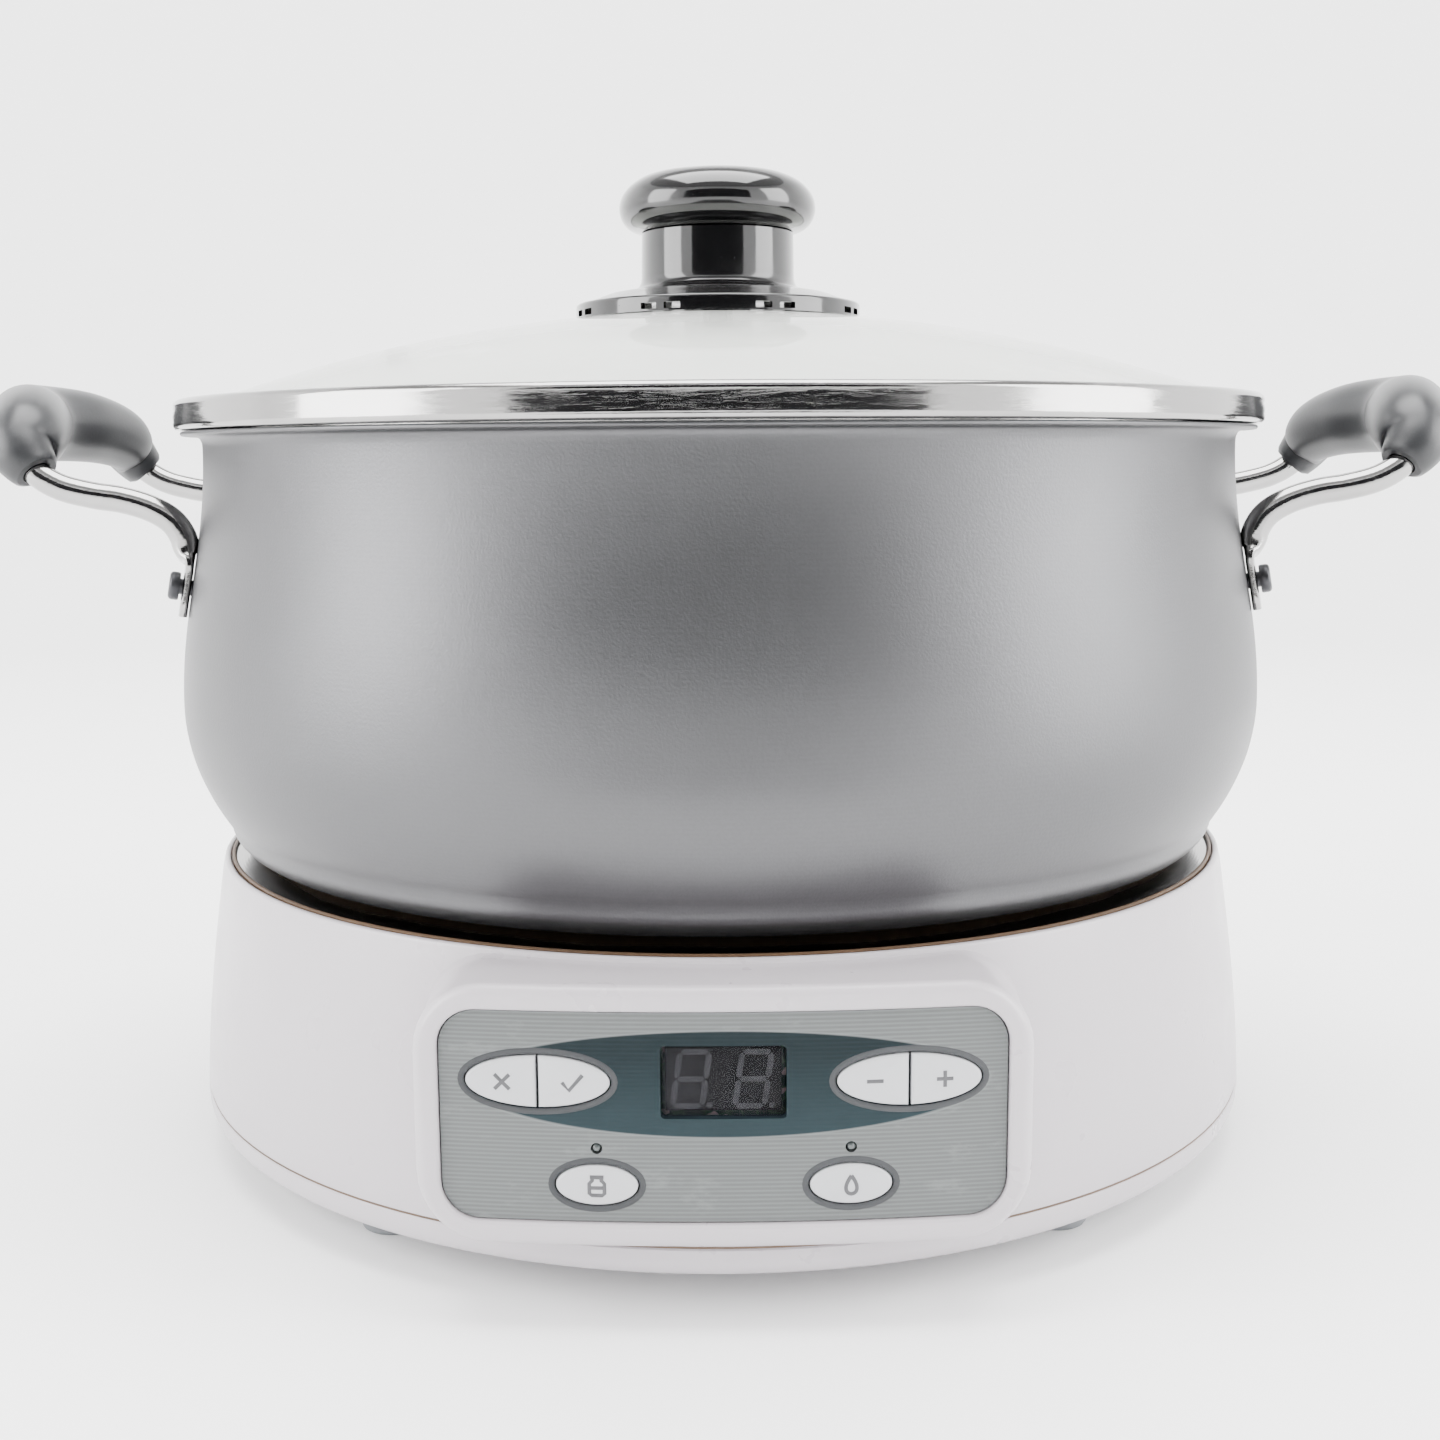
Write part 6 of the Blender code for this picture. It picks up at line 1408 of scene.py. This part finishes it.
def strap_points(side, leg):
    """The flattened end's line down the wall, from its top."""
    points = []
    for height in (STRAP_TOP - 0.001, RIVET_HEIGHT, STRAP_BOTTOM):
        spot, normal, _ = wall_frame(side, leg, height)
        points.append(spot + normal * (GAP + STRAP_THICKNESS / 2))
    return points


def make_handle_wire(label, side):
    """One bent wire, beaten flat and rounded off where it lies on the pot."""
    front = strap_points(side, -1)[::-1] + handle_points(LEG_BENDS + GRIP_BENDS[1:], side, -1)
    rear = strap_points(side, 1)[::-1] + handle_points(LEG_BENDS + GRIP_BENDS[1:-1], side, 1)
    per_span = 7
    route = smooth_route(front + rear[::-1], per_span)
    last = len(route) - 1
    flat_end = 3 * per_span
    _, _, level = wall_frame(side, -1, RIVET_HEIGHT)
    rings = []
    for i, (spot, across, normal) in enumerate(carried_frames(route, level)):
        near_end = min(i, last - i)
        flatness = 1.0 - max(0.0, min(1.0, (near_end - 0.62 * flat_end) / (0.62 * flat_end)))
        flatness = flatness * flatness * (3 - 2 * flatness)
        tip = min(1.0, (near_end + 0.8) / 4.0)
        width = WIRE_R + (STRAP_WIDTH / 2 - WIRE_R) * flatness
        thickness = WIRE_R + (STRAP_THICKNESS / 2 - WIRE_R) * flatness
        width *= math.sqrt(1 - (1 - tip) ** 2)
        crimp = 1.0 - 0.05 * math.exp(-(((near_end - 8.6 * per_span) / 4.0) ** 2))
        ring = []
        for k in range(20):
            angle = 2 * math.pi * k / 20
            power = 1.0 - 0.45 * flatness
            c, s = math.cos(angle), math.sin(angle)
            u = width * crimp * math.copysign(abs(c) ** power, c)
            v = thickness * math.copysign(abs(s) ** power, s)
            ring.append(spot + across * u + normal * v)
        rings.append(ring)
    wire = from_rings(f"wire_{label}", rings, polished_steel())
    place(wire, "pot", "bright_steel", f"handle_wire_{label}")


def make_grip(label, side):
    """A moulded grip: swollen middle, hollowed underside, mould line and open ends."""
    points = handle_points(GRIP_BENDS, side, -1) + handle_points(GRIP_BENDS[:-1], side, 1)[::-1]
    route = smooth_route(points, 8)
    last = len(route) - 1
    frames = carried_frames(route, Vector((0, 0, 1)))
    count = 40

    def ring(i, radius, shaped=1.0):
        spot, up, across = frames[i]
        loop = []
        for k in range(count):
            angle = 2 * math.pi * k / count
            under = math.cos(angle + math.pi)
            hollow = 0.20 * math.exp(-((1 - under) / 0.16) ** 2)
            seam = 0.022 * math.exp(-((abs(math.sin(angle)) - 1.0) / 0.004) ** 2)
            bulge = radius * (1 + shaped * (seam - hollow))
            rise = up * (bulge * math.cos(angle))
            reach = across * (bulge * math.sin(angle))
            loop.append(spot + rise + reach)
        return loop

    end = sizes().grip_end
    bore = WIRE_R + GAP
    rings = [ring(4, bore, 0.0), ring(0, bore, 0.0), ring(0, end * 0.80, 0.0), ring(0, end * 0.94, 0.5)]
    for i in range(1, last):
        swell = math.sin(math.pi * i / last) ** 0.8
        share = min(1.0, min(i, last - i) / 10)
        rings.append(ring(i, end + (sizes().grip_middle - end) * swell, share))
    rings += [ring(last, end * 0.94, 0.5), ring(last, end * 0.80, 0.0)]
    rings += [ring(last, bore, 0.0), ring(last - 4, bore, 0.0)]
    grip = from_rings(f"handle_grip_{label}", rings, grip_phenolic())
    place(grip, "pot", "grip_phenolic", f"grip_{label}")


def make_handles():
    for label, side in (("left", -1), ("right", 1)):
        make_handle_wire(label, side)
        make_grip(label, side)
    make_rivets()


def make_post():
    flange_z = POST_LOW.z + 0.0079
    top = POST_HIGH.z
    outline = arc((0.0057, top - 0.0008), 0.0008, 0.0008, 90, 0, 4)
    outline += [(0.0080, flange_z + 0.0125), (0.0080, flange_z + 0.0026)]
    outline += [(0.0084, flange_z + 0.0023), (0.0126, flange_z + 0.0023), (0.0130, flange_z + 0.0018)]
    outline += [(0.0130, flange_z), (0.0070, flange_z), (0.0070, POST_LOW.z), (0.0034, POST_LOW.z)]
    outline += [(0.0034, top - 0.0006), (0.0040, top)]
    post = turned("post_tube", outline, polished_steel(), sizes().small_facets)
    place(post, "pot", "bright_steel", "stirrer_post")


def make_stirrer():
    """A round hub with a ribbed blade to each side, thicker at its working edge."""
    low = STIRRER_LOW.z
    hub_low = low + 0.0031
    top = STIRRER_HIGH.z
    hub = 0.0110
    outline = [(0.0036, top)] + arc((hub - 0.0022, top - 0.0022), 0.0022, 0.0022, 90, 0, 6)
    outline += [(hub, hub_low + 0.0010), (hub + 0.0012, hub_low), (0.0084, hub_low)]
    outline += [(0.0084, top - 0.0066), (0.0036, top - 0.0066)]
    body = turned("stirrer_hub", outline, black_nylon(), sizes().small_facets)
    place(body, "paddle", "stirrer_nylon", "stirrer")
    reach = STIRRER_HIGH.x
    edge_heights = ((0.0112, 0.0031, 0.0165), (0.0170, 0.0031, 0.0163), (0.0200, 0.0, 0.0158))
    edge_heights += ((0.0600, 0.0, 0.0132), (reach - 0.0050, 0.0, 0.0095), (reach - 0.0012, 0.0018, 0.0078))
    edge_heights += ((reach, 0.0034, 0.0054),)
    for side in (-1, 1):
        rings = []
        for x, bottom, height in edge_heights:
            ring = []
            base = low + bottom
            crown = low + height
            profile = ((0.0015, base), (0.0015, base + 0.0014), (0.0010, base + 0.0022))
            profile += ((0.0010, crown - 0.0012), (0.0016, crown - 0.0008), (0.0014, crown))
            for y, z in profile + tuple((-y, z) for y, z in profile[::-1]):
                ring.append(Vector((side * x, y, z)))
            rings.append(ring)
        label = "left" if side < 0 else "right"
        place(from_rings(f"stirrer_blade_{label}", rings, black_nylon()), "paddle", "stirrer_nylon")


# ---- Lid


def make_glass():
    edge = GLASS_HIGH.x
    thickness = 0.0040
    radii = spread(0.0040, edge - 0.0010, 30)
    outline = [(r, dome_z(r)) for r in radii]
    outline += [(edge, dome_z(edge) - 0.0008), (edge, dome_z(edge, thickness) + 0.0006)]
    outline += [(r, dome_z(r, thickness)) for r in radii[::-1]]
    place(turned("dome_glass", outline, lid_glass()), "lid", "lid_glass", "lid_glass")


def make_lid_rim():
    """A rolled band: a bright bead over the glass, a bowed side and a skirt inside the mouth."""
    low = MOUTH_Z + GAP
    crown = RIM_HIGH.z
    outer = RIM_HIGH.x
    lip = GLASS_HIGH.x - 0.0032
    seat = dome_z(lip) + GAP
    skirt = NECK_R - POT_WALL - 0.0006
    sheet = 0.0007
    outline = [(lip, seat), (lip + 0.0001, seat + sheet * 0.8), (lip + 0.0008, seat + sheet)]
    outline += [(GLASS_HIGH.x - 0.0004, seat + sheet * 0.9), (outer - 0.0036, crown - 0.0006)]
    outline += arc((outer - 0.0020, crown - 0.0016), 0.0018, 0.0016, 110, 0, 8)
    outline += [(outer - 0.0003, crown - 0.0026), (outer, crown - 0.0040)]
    outline += arc((outer - 0.0012, low + 0.0014), 0.0012, 0.0014, 20, -90, 8)
    outline += [(skirt, low), (skirt, RIM_LOW.z + 0.0004), (skirt - sheet / 2, RIM_LOW.z)]
    outline += [(skirt - sheet, RIM_LOW.z + 0.0004), (skirt - sheet, low + sheet)]
    inside = GLASS_HIGH.x + 0.0004
    outline += [(inside, low + sheet), (inside, dome_z(inside) + GAP)]
    place(turned("lid_band", outline, polished_steel()), "lid", "bright_steel", "lid_rim")


def make_eyelet():
    reach = 0.0880
    tilt = math.asin(reach / DOME_R)
    matrix = Matrix.Translation((-reach, 0, dome_z(reach))) @ Matrix.Rotation(-tilt, 4, "Y")
    outline = arc((0.0034, 0.0005), 0.0012, 0.0008, 90, -20, 6)
    tube, bore = 0.0030, 0.0019
    flare_z, end_z = -0.0043, -0.0052
    outline += [(tube, 0.0002), (tube, flare_z), (0.0046, flare_z), (0.0040, end_z), (bore, end_z)]
    outline += [(bore, 0.0005)] + arc((0.0026, 0.0006), 0.0007, 0.0007, 180, 110, 4)
    eyelet = turned("vent_ring", outline, polished_steel(), 32, matrix)
    place(eyelet, "lid", "bright_steel", "vent_eyelet")


def make_knob_base():
    """Neck, sloping shoulder and a skirt with steam windows all round."""
    neck = 0.0205
    top = KNOB_HIGH.z
    skirt = KNOB_HIGH.x
    skirt_low = dome_z(skirt) + GAP
    shoulder_z = DOME_TOP_Z + 0.0062
    ceiling = DOME_TOP_Z + 0.0036
    outline = [(neck, top), (neck + 0.0001, top - 0.0040)]
    outline += arc((neck + 0.0030, shoulder_z + 0.0034), 0.0028, 0.0034, 180, 270, 6)
    outline += [(0.0300, shoulder_z - 0.0012), (skirt - 0.0016, skirt_low + 0.0040)]
    outline += arc((skirt - 0.0008, skirt_low + 0.0032), 0.0008, 0.0009, 90, 0, 4)
    inside = skirt - 0.0020
    outline += [(skirt, skirt_low), (inside, skirt_low + 0.0001), (inside, skirt_low + 0.0024)]
    outline += [(0.0227, ceiling), (0.0090, ceiling), (0.0090, DOME_TOP_Z + GAP)]
    outline += [(0.0028, DOME_TOP_Z + GAP), (0.0028, top)]
    base = turned("knob_foot", outline, gloss_phenolic(), 96)
    windows = []
    count = 8
    pair_angle = 0.085
    half_width = 0.0022
    low = (skirt - 0.0050, -half_width, skirt_low + 0.0005)
    high = (skirt + 0.002, half_width, skirt_low + 0.0021)
    for number in range(count):
        for part in (-1, 1):
            angle = 2 * math.pi * (number + 0.5) / count + part * pair_angle
            turn = Matrix.Rotation(angle, 4, "Z")
            windows.append(block("window", low, high, gloss_phenolic(), 0, turn))
    combine(base, windows, "DIFFERENCE")
    place(base, "lid", "gloss_phenolic", "knob_base")


def make_knob_cap():
    low = CAP_LOW.z
    high = CAP_HIGH.z
    radius = CAP_HIGH.x
    middle = low + 0.0062
    outline = [(0.0, high)]
    outline += [(0.0060, high - 0.00008), (0.0110, high - 0.00035)]
    outline += arc((radius - 0.0125, middle), 0.0125, high - middle - 0.0007, 78, 0, 14)
    outline += arc((radius - 0.0052, middle), 0.0052, middle - low - 0.0004, -6, -80, 8)
    bore = 0.0028
    bore_top = low + 0.0085
    outline += [(0.0209, low + 0.0001), (0.0206, low), (bore, low), (bore, bore_top), (0.0, bore_top)]
    place(turned("knob_top", outline, gloss_phenolic(), 112), "lid", "gloss_phenolic", "knob_cap")


# ---- Stage


def make_floor():
    """A round floor that curves up into a backdrop on every side."""
    radius = bpy.context.scene.cooker_stage.radius
    bend = radius * 0.4
    outline = [(0.0, 0.0), (radius - bend, 0.0)]
    outline += arc((radius - bend, bend), bend, bend, -90, 0, 16)[1:]
    outline += [(radius, radius * 1.1)]
    rings = []
    for r, z in outline:
        angles = [2 * math.pi * i / 96 for i in range(96)]
        rings.append([Vector((r * math.cos(a), r * math.sin(a), z)) for a in angles])
    floor = from_rings("floor", rings, stage_paper(), capped=False)
    floor.data.flip_normals()


def make_flags():
    """Dark cards that only the polished and satin metal mirrors: one upright, one on the floor."""
    upright = block("upright_flag", (-1.05, -1.32, 0.30), (1.05, -1.30, 1.25), smoked_black())
    level = block("level_flag", (-0.34, -1.25, 0.001), (0.34, -0.52, 0.003), smoked_black())
    for flag in (upright, level):
        flag.visible_camera = False
        flag.visible_shadow = False
        flag.visible_diffuse = False


def add_light(name, spot, target, size, power):
    light = bpy.data.lights.new(name, "AREA")
    light.shape = "RECTANGLE"
    light.size, light.size_y = size
    light.energy = power
    made = bpy.data.objects.new(name, light)
    made.location = spot
    made.rotation_euler = (Vector(target) - Vector(spot)).to_track_quat("-Z", "Y").to_euler()
    bpy.context.scene.collection.objects.link(made)


def add_camera():
    settings = bpy.context.scene.cooker_stage
    camera = bpy.data.cameras.new("view")
    camera.lens = settings.focal
    camera.sensor_width = 36.0
    made = bpy.data.objects.new("view", camera)
    spot = Matrix.Translation((-0.0002, -settings.distance, RIM_Z + settings.rise))
    tilt = Matrix.Rotation(math.pi / 2 - settings.tilt, 4, "X")
    made.matrix_world = spot @ tilt @ Matrix.Rotation(settings.roll, 4, "Z")
    bpy.context.scene.collection.objects.link(made)
    bpy.context.scene.camera = made


# ---- Operators


class BuildStage(Operator):
    """Floor, backdrop, softboxes, world and camera"""

    bl_idname = "cooker.stage"
    bl_label = "Stage"

    def execute(self, context):
        settings = context.scene.cooker_stage
        make_floor()
        make_flags()
        add_light("overhead", (0, 0.1, 1.9), (0, 0, 0), (1.7, 1.5), settings.top_light)
        add_light("left_box", (-1.5, -0.5, 0.7), (0, 0, 0.12), (0.9, 1.3), settings.side_light)
        add_light("right_box", (1.5, -0.4, 0.7), (0, 0, 0.12), (0.9, 1.3), settings.side_light)
        world = bpy.data.worlds.new("studio")
        world.use_nodes = True
        backdrop = world.node_tree.nodes["Background"]
        backdrop.inputs["Color"].default_value = (1.0, 1.0, 1.0, 1.0)
        backdrop.inputs["Strength"].default_value = 1.0
        context.scene.world = world
        add_camera()
        return {"FINISHED"}


class BuildHousing(Operator):
    """White outer shell of the base, with its bosses and ribs"""

    bl_idname = "cooker.housing"
    bl_label = "Housing"

    def execute(self, context):
        make_housing()
        return {"FINISHED"}


class BuildUnderside(Operator):
    """Base cover, feet, screws, seam and cord gland"""

    bl_idname = "cooker.underside"
    bl_label = "Underside"

    def execute(self, context):
        make_base_cover()
        make_feet()
        make_cover_screws()
        make_gland()
        return {"FINISHED"}


class BuildPanel(Operator):
    """Bezel and key plate"""

    bl_idname = "cooker.panel"
    bl_label = "Panel"

    def execute(self, context):
        make_bezel()
        make_panel_plate()
        return {"FINISHED"}


class BuildKeys(Operator):
    """The keys with their signs"""

    bl_idname = "cooker.keys"
    bl_label = "Keys"

    def execute(self, context):
        make_keys()
        return {"FINISHED"}


class BuildDisplay(Operator):
    """Display module, digits, window and lamps"""

    bl_idname = "cooker.display"
    bl_label = "Display"

    def execute(self, context):
        make_display()
        make_lamps()
        return {"FINISHED"}


class BuildHeater(Operator):
    """Dish, hot plate, sensor and the parts under them"""

    bl_idname = "cooker.heater"
    bl_label = "Heater"

    def execute(self, context):
        make_heater()
        return {"FINISHED"}


class DressInside(Operator):
    """Finishes of the hidden drive, boards and fasteners"""

    bl_idname = "cooker.inside"
    bl_label = "Inside"

    def execute(self, context):
        dress_inside()
        return {"FINISHED"}


class BuildPot(Operator):
    """Pot shell and the post in its middle"""

    bl_idname = "cooker.pot"
    bl_label = "Pot"

    def execute(self, context):
        make_pot_shell()
        make_post()
        return {"FINISHED"}


class BuildHandles(Operator):
    """Bent wires, grips and rivets"""

    bl_idname = "cooker.handles"
    bl_label = "Handles"

    def execute(self, context):
        make_handles()
        return {"FINISHED"}


class BuildStirrer(Operator):
    """The hub and blades that turn in the pot"""

    bl_idname = "cooker.stirrer"
    bl_label = "Stirrer"

    def execute(self, context):
        make_stirrer()
        return {"FINISHED"}


class BuildLid(Operator):
    """Glass dome, steel band and vent"""

    bl_idname = "cooker.lid"
    bl_label = "Lid"

    def execute(self, context):
        make_glass()
        make_lid_rim()
        make_eyelet()
        return {"FINISHED"}


class BuildKnob(Operator):
    """Knob base and cap"""

    bl_idname = "cooker.knob"
    bl_label = "Knob"

    def execute(self, context):
        make_knob_base()
        make_knob_cap()
        return {"FINISHED"}


STEPS = (
    BuildStage,
    BuildHousing,
    BuildUnderside,
    BuildPanel,
    BuildKeys,
    BuildDisplay,
    BuildHeater,
    DressInside,
    BuildPot,
    BuildHandles,
    BuildStirrer,
    BuildLid,
    BuildKnob,
)


class CookerPanel(Panel):
    """Every step of the build, in order"""

    bl_idname = "VIEW3D_PT_cooker"
    bl_label = "Cooker"
    bl_space_type = "VIEW_3D"
    bl_region_type = "UI"
    bl_category = "Cooker"

    def draw(self, context):
        for step in STEPS:
            self.layout.operator(step.bl_idname)
        for group in ("cooker_sizes", "cooker_colours", "cooker_stage"):
            settings = getattr(context.scene, group)
            box = self.layout.box()
            for name in settings.bl_rna.properties.keys():
                if name not in ("rna_type", "name"):
                    box.prop(settings, name)


GROUPS = {"cooker_sizes": CookerSizes, "cooker_colours": CookerColours, "cooker_stage": CookerStage}


def register():
    for group in GROUPS.values():
        bpy.utils.register_class(group)
    for step in STEPS:
        bpy.utils.register_class(step)
    bpy.utils.register_class(CookerPanel)
    for name, group in GROUPS.items():
        setattr(bpy.types.Scene, name, PointerProperty(type=group))


def unregister():
    for name in GROUPS:
        delattr(bpy.types.Scene, name)
    bpy.utils.unregister_class(CookerPanel)
    for step in reversed(STEPS):
        bpy.utils.unregister_class(step)
    for group in GROUPS.values():
        bpy.utils.unregister_class(group)


def main():
    register()
    for step in STEPS:
        area, name = step.bl_idname.split(".")
        getattr(getattr(bpy.ops, area), name)()


if __name__ == "__main__":
    main()
